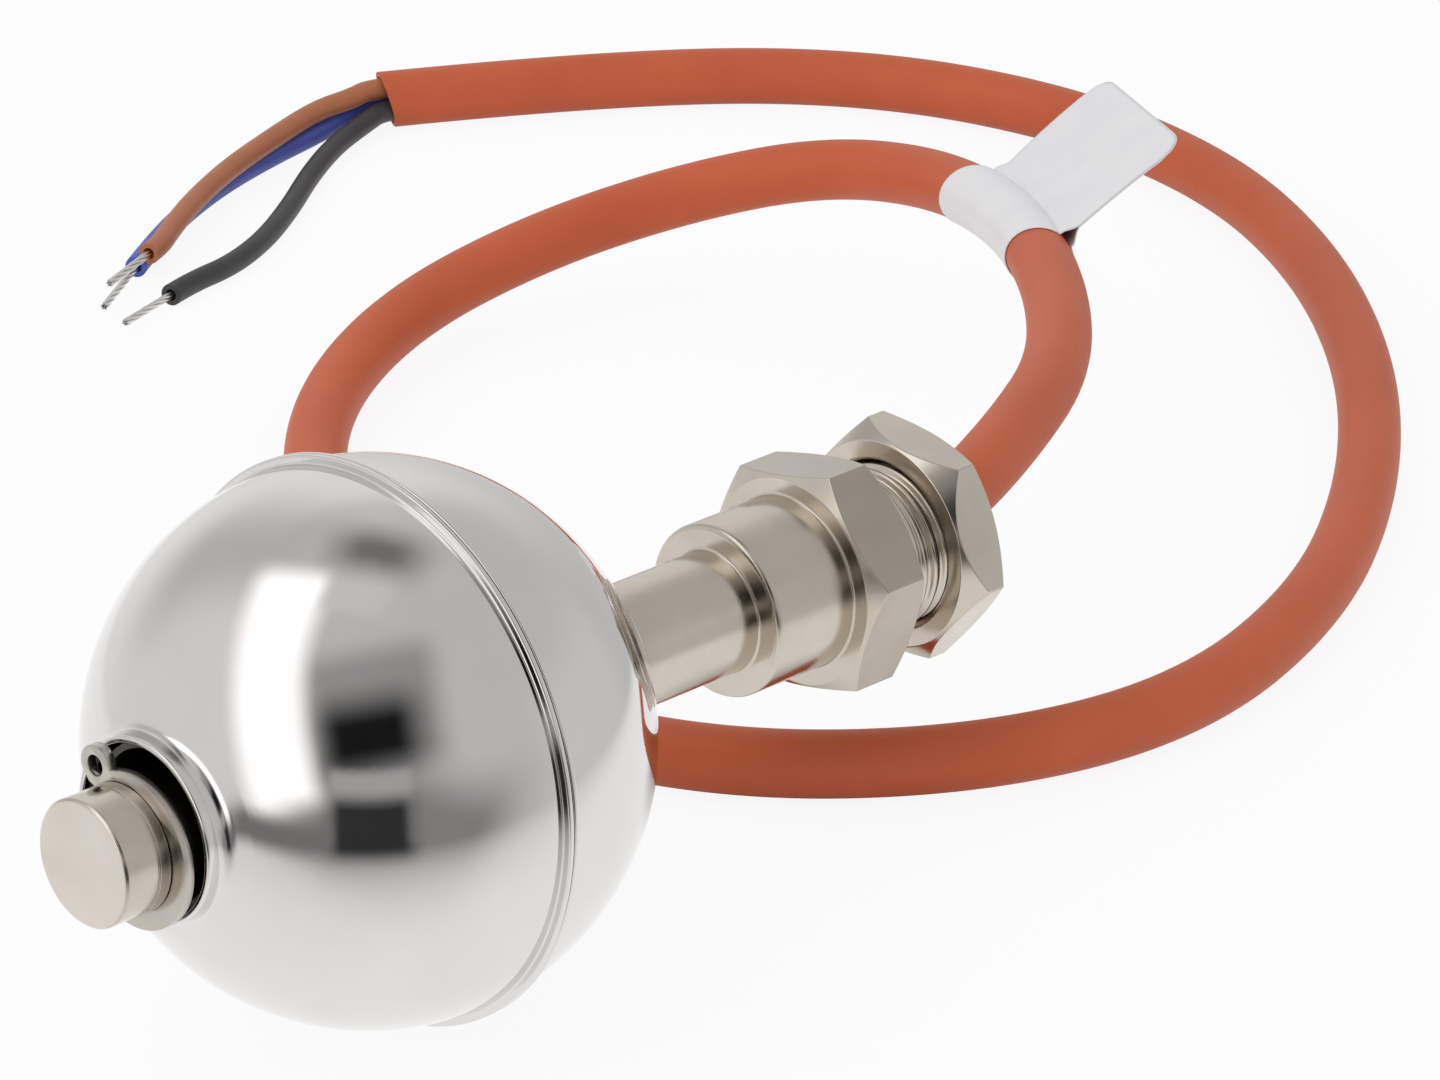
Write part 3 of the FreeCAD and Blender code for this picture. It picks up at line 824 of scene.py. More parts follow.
@dataclass(frozen=True)
class Plastic(Finish):
    """Moulded, extruded or cast plastic with a mottled colour and a fine grain.

    Attributes:
        slot: the record's material slot.
        colour: the plastic's colour.
        shade: its colour in the darker clouds.
        roughness: least and greatest roughness.
        cloud: size of the clouds of colour.
        grain: size of the surface grain.
        grain_depth: depth of the grain.
        specular: strength of its gloss.
    """

    slot: Slot
    colour: Colour
    shade: Colour
    roughness: tuple[float, float]
    cloud: float
    grain: float
    grain_depth: float
    specular: float = 0.45

    WAVE_SHARE = 12.0
    CLOUD_RANGE = (0.3, 0.7)
    GRAIN_RANGE = (0.25, 0.75)

    def wire(self, graph: SurfaceGraph) -> None:
        """Wires colour to clouds, and roughness and relief to the grain over a slower waviness.

        Args:
            graph: the material's graph.
        """
        cloud = graph.between(graph.noise((self.cloud,) * 3, detail=5.0, rough=0.6), *self.CLOUD_RANGE)
        grain = graph.noise((self.grain,) * 3, detail=4.0, rough=0.65)
        wave = graph.noise((self.grain * self.WAVE_SHARE,) * 3, detail=2.0)
        graph.set(
            Base_Color=graph.blend(cloud, self.colour, self.shade),
            Roughness=graph.between(grain, *self.GRAIN_RANGE, *self.roughness),
            Specular_IOR_Level=self.specular,
            Normal=graph.relief(grain, self.grain_depth, graph.relief(wave, 2 * self.grain_depth)),
        )


@dataclass(frozen=True)
class Laminate(Finish):
    """Glass-fibre circuit board under solder resist, with its weave.

    Attributes:
        slot: the record's material slot.
        colour: the resist over the resin.
        weave: the resist over the fibres.
        pitch: width of a woven bundle.
    """

    slot: Slot = Slot.BOARD_LAMINATE
    colour: Colour = (0.012, 0.16, 0.05)
    weave: Colour = (0.03, 0.25, 0.09)
    pitch: float = 0.5

    BAND_SCALE = 0.31
    WEAVE_DEPTH = 0.012
    GRAIN_SIZE = 0.3
    GRAIN_RANGE = (0.3, 0.7)
    ROUGHNESS = (0.28, 0.42)

    def wire(self, graph: SurfaceGraph) -> None:
        """Wires colour and relief to two crossed bands of woven bundles.

        Args:
            graph: the material's graph.
        """
        scale = (1 / (self.pitch * MM),) * 3
        moved = graph.add("ShaderNodeMapping", {"Vector": graph.place, "Scale": scale}).outputs[0]
        inputs = {"Vector": moved, "Scale": self.BAND_SCALE}
        bands = [graph.add("ShaderNodeTexWave", inputs, bands_direction=axis).outputs[1] for axis in "XY"]
        weave = graph.math("MULTIPLY", *bands)
        grain = graph.noise((self.GRAIN_SIZE,) * 3)
        graph.set(
            Base_Color=graph.blend(weave, self.colour, self.weave),
            Roughness=graph.between(grain, *self.GRAIN_RANGE, *self.ROUGHNESS),
            Normal=graph.relief(weave, self.WEAVE_DEPTH),
        )


@dataclass(frozen=True)
class Glass(Finish):
    """Greenish infrared-absorbing glass of a reed capsule.

    Attributes:
        slot: the record's material slot.
        colour: the glass's tint.
    """

    slot: Slot = Slot.REED_GLASS
    colour: Colour = (0.55, 0.85, 0.62)

    DRAW_SIZE = (6.0, 0.5, 0.5)
    DRAW_RANGE = (0.3, 0.7)
    DRAW_DEPTH = 0.01
    ROUGHNESS = (0.0, 0.05)

    def wire(self, graph: SurfaceGraph) -> None:
        """Wires a clear glass whose roughness and surface waver slightly, as drawn tube does.

        Args:
            graph: the material's graph.
        """
        draw = graph.noise(self.DRAW_SIZE, detail=2.0)
        graph.set(
            Base_Color=(*self.colour, 1.0),
            Transmission_Weight=1.0,
            IOR=1.5,
            Roughness=graph.between(draw, *self.DRAW_RANGE, *self.ROUGHNESS),
            Normal=graph.relief(draw, self.DRAW_DEPTH),
        )


def insulation(slot: Slot, colour: Colour, shade: Colour) -> Plastic:
    """The smooth insulation of a core, in its colour."""
    return Plastic(slot, colour, shade, roughness=(0.42, 0.56), cloud=5.0, grain=0.15, grain_depth=0.004)


PLATING = Metal(
    Slot.PLATED_BRASS, (0.615, 0.568, 0.495), (0.55, 0.497, 0.42), (0.14, 0.25),
    lines=(0.09, 14.0, 14.0), line_depth=0.0012, wave=5.0, wave_depth=0.004,
    speck_spacing=1.3, speck_depth=0.004,
)
# Painted light: the free end's flat is a lighter copy of the plating, so that it shows brighter than the
# rest; its facing lines and roughness are real.
LIT_FACED = Metal(
    Slot.PLATED_BRASS, (0.735, 0.69, 0.63), (0.70, 0.65, 0.585), (0.26, 0.36),
    lines=(9.0, 1.4, 1.4), line_depth=0.0015, wave=4.0, wave_depth=0.003,
    speck_spacing=1.1, speck_depth=0.003, kind="faced_lit",
)
# Painted shade: the hexagon's flats are a darker copy of the plating, so that they show darker than the rest;
# their milling lines are real.
SHADED_MILLED = Metal(
    Slot.PLATED_BRASS, (0.48, 0.435, 0.37), (0.43, 0.385, 0.32), (0.15, 0.26),
    lines=(0.5, 9.0, 9.0), line_depth=0.0012, wave=4.0, wave_depth=0.006,
    speck_spacing=1.3, speck_depth=0.004, kind="milled",
)
POLISH = Metal(
    Slot.POLISHED_STEEL, (0.745, 0.728, 0.718), (0.72, 0.70, 0.69), (0.035, 0.075),
    lines=(0.35, 6.0, 6.0), line_depth=0.0003, wave=7.0, wave_depth=0.005,
    speck_spacing=2.3, speck_depth=0.0012,
)
# Painted shade: the sleeve is a near-black copy of the polished steel, so that it shows as the shade inside
# the neck; its drawing lines are real.
SHADED_DRAWN = Metal(
    Slot.POLISHED_STEEL, (0.15, 0.142, 0.133), (0.115, 0.11, 0.1), (0.34, 0.5),
    lines=(7.0, 0.3, 0.3), line_depth=0.002, wave=3.0, wave_depth=0.004,
    speck_spacing=0.9, speck_depth=0.004, kind="drawn",
)
SPRING = Metal(
    Slot.SPRING_STEEL, (0.57, 0.54, 0.49), (0.50, 0.47, 0.42), (0.2, 0.34),
    lines=(5.0, 0.12, 5.0), line_depth=0.002, wave=2.0, wave_depth=0.004,
    speck_spacing=0.6, speck_depth=0.006,
)
REED_METAL = Metal(
    Slot.REED_METAL, (0.62, 0.57, 0.48), (0.55, 0.5, 0.42), (0.18, 0.3),
    lines=(6.0, 0.1, 0.1), line_depth=0.001, wave=2.0, wave_depth=0.002,
    speck_spacing=0.5, speck_depth=0.002,
)
TINNED = Metal(
    Slot.TINNED_COPPER, (0.78, 0.775, 0.76), (0.66, 0.65, 0.63), (0.2, 0.36),
    lines=(0.5, 0.5, 0.5), line_depth=0.004, wave=1.0, wave_depth=0.01,
    speck_spacing=0.4, speck_depth=0.004,
)
FERRITE = Plastic(
    Slot.FERRITE, (0.035, 0.034, 0.036), (0.02, 0.02, 0.021), (0.45, 0.65),
    cloud=2.5, grain=0.15, grain_depth=0.01,
)
POTTING = Plastic(
    Slot.POTTING, (0.018, 0.018, 0.02), (0.03, 0.03, 0.032), (0.16, 0.3),
    cloud=3.0, grain=0.6, grain_depth=0.012,
)
JACKET = Plastic(
    Slot.ORANGE_JACKET, (0.58, 0.117, 0.042), (0.52, 0.10, 0.035), (0.46, 0.6),
    cloud=16.0, grain=0.22, grain_depth=0.006, specular=0.35,
)
FILM = Plastic(
    Slot.LABEL_FILM, (0.80, 0.80, 0.815), (0.765, 0.765, 0.785), (0.38, 0.5),
    cloud=6.0, grain=0.3, grain_depth=0.003, specular=0.4,
)
BROWN = insulation(Slot.BROWN_CORE, (0.46, 0.155, 0.066), (0.40, 0.13, 0.054))
BLUE = insulation(Slot.BLUE_CORE, (0.085, 0.118, 0.50), (0.07, 0.098, 0.43))
BLACK = insulation(Slot.BLACK_CORE, (0.044, 0.044, 0.045), (0.033, 0.033, 0.034))
LAMINATE = Laminate()
GLASS = Glass()


# The float


@dataclass
class BallFloat:
    """The welded steel ball with its drawn necks, sleeve and ring magnet.

    Attributes:
        wall: thickness of the shell.
        lip_width: width of each half's seam lip.
        lip_height: height of the lips above the ball.
        lip_round: reach of the lip's rounded edges.
        seam_gap: half width of the line between the lips.
        seam_depth: depth of that line below the lips.
        neck_radius: outer radius of a neck.
        neck_bore: inner radius of a neck.
        neck_blend: reach of the curve from ball to neck.
        neck_round: reach of the rim's outer edge.
        neck_mouth: reach of the rim's inner edge.
    """

    wall: float = 0.6
    lip_width: float = 0.6
    lip_height: float = 0.85
    lip_round: float = 0.2
    seam_gap: float = 0.04
    seam_depth: float = 0.45
    neck_radius: float = 8.75
    neck_bore: float = 8.1
    neck_blend: float = 0.9
    neck_round: float = 0.3
    neck_mouth: float = 0.35

    COLUMNS = 240
    BALL_ROWS = 90
    INNER_ROWS = 24
    LIP_REACH = 1.5
    NECK_APPROACH = 2.2

    def __post_init__(self) -> None:
        """Takes the ball's place and size from the frame."""
        front, rear = Span.of("float_front_shell"), Span.of("float_rear_shell")
        self.height, self.lip_radius = front.height, front.reach
        self.rear_rim = max(front.rear, rear.rear)
        self.seam = (min(front.front, rear.front) + self.rear_rim) / 2
        self.radius = self.lip_radius - self.lip_height

    def arc(self, radius: float, start: float, end: float, rows: int) -> Array:
        """Part of a circle round the ball's centre: (R cos t, R sin t).

        Args:
            radius: the circle's radius R.
            start: distance from the seam at which it starts.
            end: distance from the seam at which it ends.
            rows: number of points.

        Returns:
            Rows of (distance from the seam, radius).
        """
        angle = np.linspace(math.acos(start / radius), math.acos(end / radius), rows)
        return np.stack([radius * np.cos(angle), radius * np.sin(angle)], -1)

    def half_profile(self) -> Array:
        """Closed section of one half: (distance from the seam, radius).

        It runs from the seam over the lip, along the ball, up the neck, round its rim, down its bore and
        back along the inside of the shell.

        Returns:
            Rows of (distance, radius).
        """
        rim = self.rear_rim - self.seam
        inside = self.radius - self.wall
        base = math.sqrt(self.radius**2 - self.lip_width**2)
        leave = math.sqrt(self.radius**2 - self.LIP_REACH**2)
        neck_foot = math.sqrt(self.radius**2 - self.neck_radius**2)
        approach = self.neck_radius + self.NECK_APPROACH
        near = math.sqrt(self.radius**2 - approach**2)
        bore_foot = math.sqrt(inside**2 - self.neck_bore**2)
        lip = rounded(
            np.array([
                (self.seam_gap, self.lip_radius - self.seam_depth),
                (self.seam_gap, self.lip_radius),
                (self.lip_width, self.lip_radius),
                (self.lip_width, base),
                (self.LIP_REACH, leave),
            ]),
            [self.lip_round, self.lip_round, self.lip_round],
        )
        ball = self.arc(self.radius, self.LIP_REACH, near, self.BALL_ROWS)[1:-1]
        neck = rounded(
            np.array([
                (near, approach),
                (neck_foot, self.neck_radius),
                (rim, self.neck_radius),
                (rim, self.neck_bore),
                (bore_foot, self.neck_bore),
            ]),
            [self.neck_blend, self.neck_round, self.neck_mouth],
        )
        inner = self.arc(inside, bore_foot, self.seam_gap, self.INNER_ROWS)[1:]
        return np.vstack([lip, ball, neck, inner])

    def build(self) -> None:
        """Makes the two halves, one the mirror image of the other across the seam."""
        profile = self.half_profile()
        clock = round_clock(self.COLUMNS)
        for name, side in (("float_front_shell", -1.0), ("float_rear_shell", 1.0)):
            section = np.stack([self.seam + side * profile[:, 0], profile[:, 1]], -1)
            grid = turn(section, clock, self.height)
            piece = skin(f"{name}_skin", [grid], loop_rows=True)
            assign(piece, POLISH, Body.FLOAT, name)

    def dress(self) -> None:
        """Dresses the sleeve, darkened as painted shade inside the neck, and the magnet and its clips inside
        the ball.
        """
        dress(SHADED_DRAWN, "float_tube")
        dress(FERRITE, "float_magnet")
        dress(SPRING, "magnet_clip_rear", "magnet_clip_front")


# The stem


@dataclass
class Stem:
    """The turned stem with its collar, hexagon and threaded stub.

    Attributes:
        radius: the stem's radius.
        end_chamfer: reach of the chamfer at its free end.
        tip_line: front of the fine line where the end plug meets the stem.
        tip_line_width: width of that line.
        tip_line_depth: depth of that line.
        groove_front: front wall of the retaining ring's groove.
        groove_rear: rear wall of the groove.
        groove_radius: radius of the groove's floor.
        shoulder: where the collar starts.
        collar_radius: the collar's radius.
        hex_front: front face of the hexagon.
        hex_rear: rear face of the hexagon.
        across: the hexagon's width across flats.
        hex_clock: clock angle of a corner.
        front_flat: radius at which the hexagon's front chamfer starts.
        front_slope: slope of that chamfer.
        rear_flat: radius at which its rear chamfer starts.
        rear_slope: slope of that chamfer.
        thread_radius: radius of the thread's crests.
        pitch: the thread's pitch.
        thread_depth: depth of the thread.
        plain: length of the plain stub before the thread.
        run_out: length over which the thread grows to its depth.
        thread_chamfer: chamfer at the stub's end.
        bore: radius of the bore.
        bore_front: blind end of the bore.
    """

    radius: float = 6.0
    end_chamfer: float = 0.25
    tip_line: float = -49.4
    tip_line_width: float = 0.25
    tip_line_depth: float = 0.12
    groove_front: float = -47.95
    groove_rear: float = -46.85
    groove_radius: float = 5.75
    shoulder: float = 24.0
    collar_radius: float = 8.5
    hex_front: float = 34.0
    hex_rear: float = 41.0
    across: float = 21.0
    hex_clock: float = 49.5
    front_flat: float = 10.2
    front_slope: float = 30.0
    rear_flat: float = 10.2
    rear_slope: float = 30.0
    thread_radius: float = 8.0
    pitch: float = THREAD_PITCH
    thread_depth: float = 0.6
    plain: float = 2.4
    run_out: float = 0.9
    thread_chamfer: float = 0.6
    bore: float = 4.3
    bore_front: float = -50.0

    POLE = 0.4
    EDGE = 0.09
    ROOT = 0.3
    COLLAR_ROUND = 0.6
    THREAD_ROWS = 150
    FLAT_SLOPE = 0.3

    def __post_init__(self) -> None:
        """Takes the stem's ends and height from the frame."""
        place = Span.of("stem_body")
        self.front, self.rear, self.height = place.front, place.rear, place.height

    def outline(self, hexagon: Hexagon) -> list[Corner]:
        """Lists the corners of the outside from the free end to the root of the stub.

        Args:
            hexagon: the hexagon behind the collar.

        Returns:
            The corners.
        """
        rim = hexagon.radius()
        line_end, line_floor = self.tip_line + self.tip_line_width, self.radius - self.tip_line_depth
        front_edge = self.hex_front + hexagon.chamfer(self.front_flat, self.front_slope)
        rear_edge = self.hex_rear - hexagon.chamfer(self.rear_flat, self.rear_slope)
        return [
            Corner(self.front, self.POLE),
            Corner(self.front, self.radius - self.end_chamfer, self.EDGE),
            Corner(self.front + self.end_chamfer, self.radius, self.EDGE),
            Corner(self.tip_line, self.radius, self.EDGE),
            Corner(self.tip_line, line_floor, self.EDGE),
            Corner(line_end, line_floor, self.EDGE),
            Corner(line_end, self.radius, self.EDGE),
            Corner(self.groove_front, self.radius, self.EDGE),
            Corner(self.groove_front, self.groove_radius, self.EDGE),
            Corner(self.groove_rear, self.groove_radius, self.EDGE),
            Corner(self.groove_rear, self.radius, self.EDGE),
            Corner(self.shoulder, self.radius, self.ROOT),
            Corner(self.shoulder, self.collar_radius, self.COLLAR_ROUND),
            Corner(self.hex_front, self.collar_radius, self.ROOT),
            Corner(self.hex_front, self.front_flat, self.EDGE, hexed=True),
            Corner(front_edge, rim, self.EDGE, hexed=True),
            Corner(rear_edge, rim, self.EDGE, hexed=True),
            Corner(self.hex_rear, self.rear_flat, self.EDGE, hexed=True),
            Corner(self.hex_rear, self.thread_radius, self.ROOT),
            Corner(self.hex_rear + self.ROOT, self.thread_radius),
        ]

    def thread(self, clock: Array) -> Array:
        """Rows of the threaded stub.

        The radius is the crest's less the thread's depth, which grows over the run-out, and never more than
        the chamfer's cone at the end.

        Args:
            clock: clock angles of the columns.

        Returns:
            Rows and columns of (x, radius).
        """
        start = self.hex_rear + 2 * self.ROOT
        x = np.linspace(start, self.rear, self.THREAD_ROWS)[:, None]
        cut_start = self.hex_rear + self.plain
        grown = smooth_step(cut_start, cut_start + self.run_out, x)
        radius = self.thread_radius - grown * thread_depth(x, clock, self.pitch, self.thread_depth)
        cone = self.thread_radius - self.thread_chamfer + (self.rear - x)
        return np.stack(np.broadcast_arrays(x, np.minimum(radius, cone)), -1)

    def build(self) -> None:
        """Makes the stem as one closed surface from its free end over the stub to the end of its bore."""
        hexagon = Hexagon(self.across, self.hex_clock)
        even = hexagon.even()
        inside = rounded(
            np.array([
                (self.rear, self.thread_radius - self.thread_chamfer - self.ROOT),
                (self.rear, self.bore),
                (self.bore_front, self.bore),
                (self.bore_front, self.POLE),
            ]),
            [self.EDGE, self.EDGE],
        )
        grid = np.concatenate([
            hexagon.carry(self.outline(hexagon), self.height),
            turn(self.thread(even), even, self.height),
            turn(inside, even, self.height),
        ])
        piece = assign(skin("stem_turned", [grid]), PLATING, Body.STEM, "stem_body")
        self.finish_faces_with_painted_light(piece)

    def finish_faces_with_painted_light(self, piece: Piece) -> None:
        """Gives the end's flat a rougher finish with facing lines, lightened as painted light, and the
        hexagon's flats one with milling lines, darkened as painted shade.

        Args:
            piece: the stem.
        """
        for finish in (LIT_FACED, SHADED_MILLED):
            piece.data.materials.append(finish.material())
        polygons = piece.data.polygons
        values = np.empty((2, len(polygons) * 3))
        polygons.foreach_get("center", values[0])
        polygons.foreach_get("normal", values[1])
        (x, y, z), (slope, _, _) = values.reshape(2, -1, 3).transpose(0, 2, 1)
        at_end = x < (self.front + self.EDGE / 2) * MM
        outermost = np.hypot(y, z - self.height * MM) > (self.across / 2 - self.EDGE) * MM
        on_flat = outermost & (np.abs(slope) < self.FLAT_SLOPE)
        # Index 1 is the end's painted light, index 2 the flats' painted shade.
        polygons.foreach_set("material_index", (at_end + 2 * on_flat).astype(np.int32))


@dataclass
class LockNut:
    """The chamfered lock nut on the stub.

    Attributes:
        across: width across flats.
        clock: clock angle of a corner.
        flat: radius at which its chamfers start.
        front_slope: slope of the front chamfer.
        rear_slope: slope of the rear chamfer.
        bore: radius of the thread's crests in the bore.
        countersink: reach of the countersinks.
        pitch: the thread's pitch.
        thread_depth: depth of the thread.
    """

    across: float = 21.0
    clock: float = 9.5
    flat: float = 10.3
    front_slope: float = 50.0
    rear_slope: float = 30.0
    bore: float = 8.1
    countersink: float = 0.5
    pitch: float = THREAD_PITCH
    thread_depth: float = 0.5

    EDGE = 0.1
    THREAD_ROWS = 60

    def build(self) -> None:
        """Makes the nut as one looped surface: over the outside and back through the bore."""
        place = Span.of("lock_nut")
        front, rear = place.front, place.rear
        hexagon = Hexagon(self.across, self.clock)
        even, rim = hexagon.even(), hexagon.radius()
        mouth = self.bore + self.countersink
        outside = [
            Corner(front + self.countersink, self.bore),
            Corner(front, mouth, self.EDGE),
            Corner(front, self.flat, self.EDGE, hexed=True),
            Corner(front + hexagon.chamfer(self.flat, self.front_slope), rim, self.EDGE, hexed=True),
            Corner(rear - hexagon.chamfer(self.flat, self.rear_slope), rim, self.EDGE, hexed=True),
            Corner(rear, self.flat, self.EDGE, hexed=True),
            Corner(rear, mouth, self.EDGE),
            Corner(rear - self.countersink, self.bore),
        ]
        x = np.linspace(rear - self.countersink, front + self.countersink, self.THREAD_ROWS)[1:-1, None]
        groove = self.thread_depth - thread_depth(x, even, self.pitch, self.thread_depth)
        bore = np.stack(np.broadcast_arrays(x, self.bore + groove), -1)
        grid = np.concatenate([hexagon.carry(outside, place.height), turn(bore, even, place.height)])
        assign(skin("lock_nut_milled", [grid], loop_rows=True), PLATING, Body.NUT, "lock_nut")


@dataclass
class RetainingRing:
    """The spring ring in the stem's groove, with two eyed lugs beside its mouth.

    Attributes:
        bore: radius of the bore.
        band: radius of the band's outer circle.
        offset: how far that circle lies away from the mouth.
        mouth_clock: clock angle of the mouth's middle.
        mouth: half width of the mouth.
        lug_radius: radius of a lug.
        lug_reach: distance of a lug's middle from the axis.
        lug_angle: angle of a lug from the mouth's middle.
        eye: radius of an eye.
        blend: width of the curve from band to lug.
        edge: reach of the stamped edges.
    """

    bore: float = 5.78
    band: float = 7.35
    offset: float = 0.55
    mouth_clock: float = 28.0
    mouth: float = 2.0
    lug_radius: float = 1.9
    lug_reach: float = 7.63
    lug_angle: float = 30.0
    eye: float = 1.0
    blend: float = 0.8
    edge: float = 0.07

    OUTER_STEPS = 260
    INNER_STEPS = 120
    EYE_STEPS = 40
    WELD_SHARE = 0.05
    STAMPED_ANGLE = 30.0

    def outline(self) -> Array:
        """Outline of the ring round the stem's axis, with the mouth's middle along the first axis.

        Outside, the distance from the axis is the larger of the band's circle and the lug's circle along the
        same ray, with a curve between. Inside it is the bore.

        Returns:
            Points of (along the mouth's middle, across it).
        """
        spread = math.degrees(math.asin(self.lug_radius / self.lug_reach))
        first = self.lug_angle - spread
        angle = np.linspace(first, FULL_TURN - first, self.OUTER_STEPS)
        folded = np.where(angle > FULL_TURN / 2, FULL_TURN - angle, angle)
        band_sine = self.offset * np.sin(np.radians(folded))
        band = np.sqrt(self.band**2 - band_sine**2) - self.offset * np.cos(np.radians(folded))
        away = np.radians(folded - self.lug_angle)
        inside = np.maximum(self.lug_radius**2 - (self.lug_reach * np.sin(away)) ** 2, 0)
        lug = np.where(inside > 0, self.lug_reach * np.cos(away) + np.sqrt(inside), 0)
        outer = np.where(folded < self.lug_angle, np.maximum(band, lug), smooth_max(band, lug, self.blend))
        start = math.degrees(math.asin(self.mouth / self.bore))
        back = np.linspace(FULL_TURN - start, start, self.INNER_STEPS)
        radius = np.concatenate([outer, np.full(self.INNER_STEPS, self.bore)])
        turned = np.radians(np.concatenate([angle, back]))
        return np.stack([radius * np.cos(turned), radius * np.sin(turned)], -1)

    def flat_curve(self, thickness: float) -> bpy.types.Curve:
        """Draws the ring lying flat: its outline and two eyes, thickened and edged.

        Args:
            thickness: the ring's thickness.

        Returns:
            The curve.
        """
        circle = np.radians(round_clock(self.EYE_STEPS))
        eye = self.eye * np.stack([np.cos(circle), np.sin(circle)], -1)
        lug = math.radians(self.lug_angle)
        seat = self.lug_reach * np.array([math.cos(lug), math.sin(lug)])
        curve = bpy.data.curves.new("retaining_ring_flat", "CURVE")
        curve.dimensions = "2D"
        curve.fill_mode = "BOTH"
        curve.extrude = (thickness / 2 - self.edge) * MM
        curve.bevel_depth = self.edge * MM
        curve.bevel_resolution = 1
        curve.offset = -self.edge * MM
        for points in (self.outline(), eye + seat, eye + seat * (1, -1)):
            level = np.zeros(len(points))
            add_spline(curve, "POLY", np.column_stack([points, level])).use_cyclic_u = True
        return curve

    def build(self) -> None:
        """Makes the ring from its flat curve, stood up in the groove with its mouth at its clock angle."""
        place = Span.of("retaining_ring")
        mesh = mesh_of(self.flat_curve(place.rear - place.front))
        clock = math.radians(self.mouth_clock)
        cos, sin = math.cos(clock), math.sin(clock)
        middle, height = (place.front + place.rear) / 2 * MM, Span.of("stem_body").height * MM
        mesh.transform(Matrix((
            (0, 0, 1, middle), (cos, -sin, 0, 0), (sin, cos, 0, height), (0, 0, 0, 1),
        )))
        piece = fill_mesh("retaining_ring_stamped", *take_apart(mesh))
        self.weld(piece)
        assign(piece, SPRING, Body.STEM, "retaining_ring")

    def weld(self, piece: Piece) -> None:
        """Joins the flat curve's faces and walls and turns them outwards.

        Args:
            piece: the ring.
        """
        mesh = bmesh.new()
        mesh.from_mesh(piece.data)
        bmesh.ops.remove_doubles(mesh, verts=mesh.verts, dist=self.WELD_SHARE * self.edge * MM)
        bmesh.ops.recalc_face_normals(mesh, faces=mesh.faces)
        mesh.to_mesh(piece.data)
        mesh.free()
        piece.data.shade_smooth()
        piece.data.set_sharp_from_angle(angle=math.radians(self.STAMPED_ANGLE))


# The cable


CABLE_ROUTE = np.array([
    (49.0, 0.0, 26.0), (55.5, 0.0, 27.3), (72.3, 7.3, 27.5), (90.6, 18.0, 26.7), (108.7, 35.5, 24.9),
    (123.7, 55.1, 22.9), (132.8, 75.1, 20.1), (133.0, 93.3, 16.6), (124.0, 106.3, 12.3), (108.0, 113.8, 8.6),
    (88.0, 114.4, 5.5), (67.4, 104.6, 3.8), (49.5, 86.0, 3.35), (34.0, 60.0, 3.35), (27.0, 34.0, 3.35),
    (34.0, 10.0, 3.35), (53.0, -7.0, 3.35), (77.0, -13.0, 3.35), (105.0, -5.0, 3.35), (131.0, 11.0, 3.35),
    (155.0, 32.0, 3.35), (175.0, 57.0, 3.35), (188.0, 83.0, 3.35), (191.0, 110.0, 3.35), (183.0, 136.0, 3.35),
    (162.0, 156.5, 3.35), (136.4, 170.3, 3.35),
])


@dataclass
class Cable:
    """The orange cable from the stub's resin to its cut end.

    Attributes:
        radius: radius of the jacket.
        wall: thickness of the jacket at the cut.
        hollow: how deep the cut end is open round the cores.
        cut_round: reach of the cut's edges.
        slant: how far the cut leans forward at the top, as a slope.
    """

    radius: float = 3.35
    wall: float = 0.55
    hollow: float = 5.0
    cut_round: float = 0.12
    slant: float = 0.25

    COLUMNS = 48
    PER_RUN = 26
    TRIM = 1.2

    def __post_init__(self) -> None:
        """Reads the cable's smooth line."""
        self.track = Track.through(spline_points(CABLE_ROUTE, self.PER_RUN))

    def build(self) -> Piece:
        """Makes the jacket: rings along the line, then the cut's edge, wall and hollow.

        Returns:
            The jacket.
        """
        inner = self.radius - self.wall
        cut = rounded(
            np.array([
                (-self.TRIM, self.radius), (0.0, self.radius), (0.0, inner), (-self.hollow, inner),
            ]),
            [self.cut_round, self.cut_round],
        )
        whole = length_along(self.track.points)
        kept = whole < whole[-1] - self.TRIM
        kept[-1] = True
        line = Track.through(self.track.points[kept])
        tail = line.onward(cut[:, 0])
        end = tail.ring(cut[:, 1], self.COLUMNS)
        rise = (end - tail.points[:, None]) @ line.above[-1]
        end = end + self.slant * rise[..., None] * line.along[-1]
        grid = np.concatenate([line.ring(self.radius, self.COLUMNS)[:-1], end])
        return assign(skin("cable_orange", [grid]), JACKET, Body.STEM, "cable_jacket")


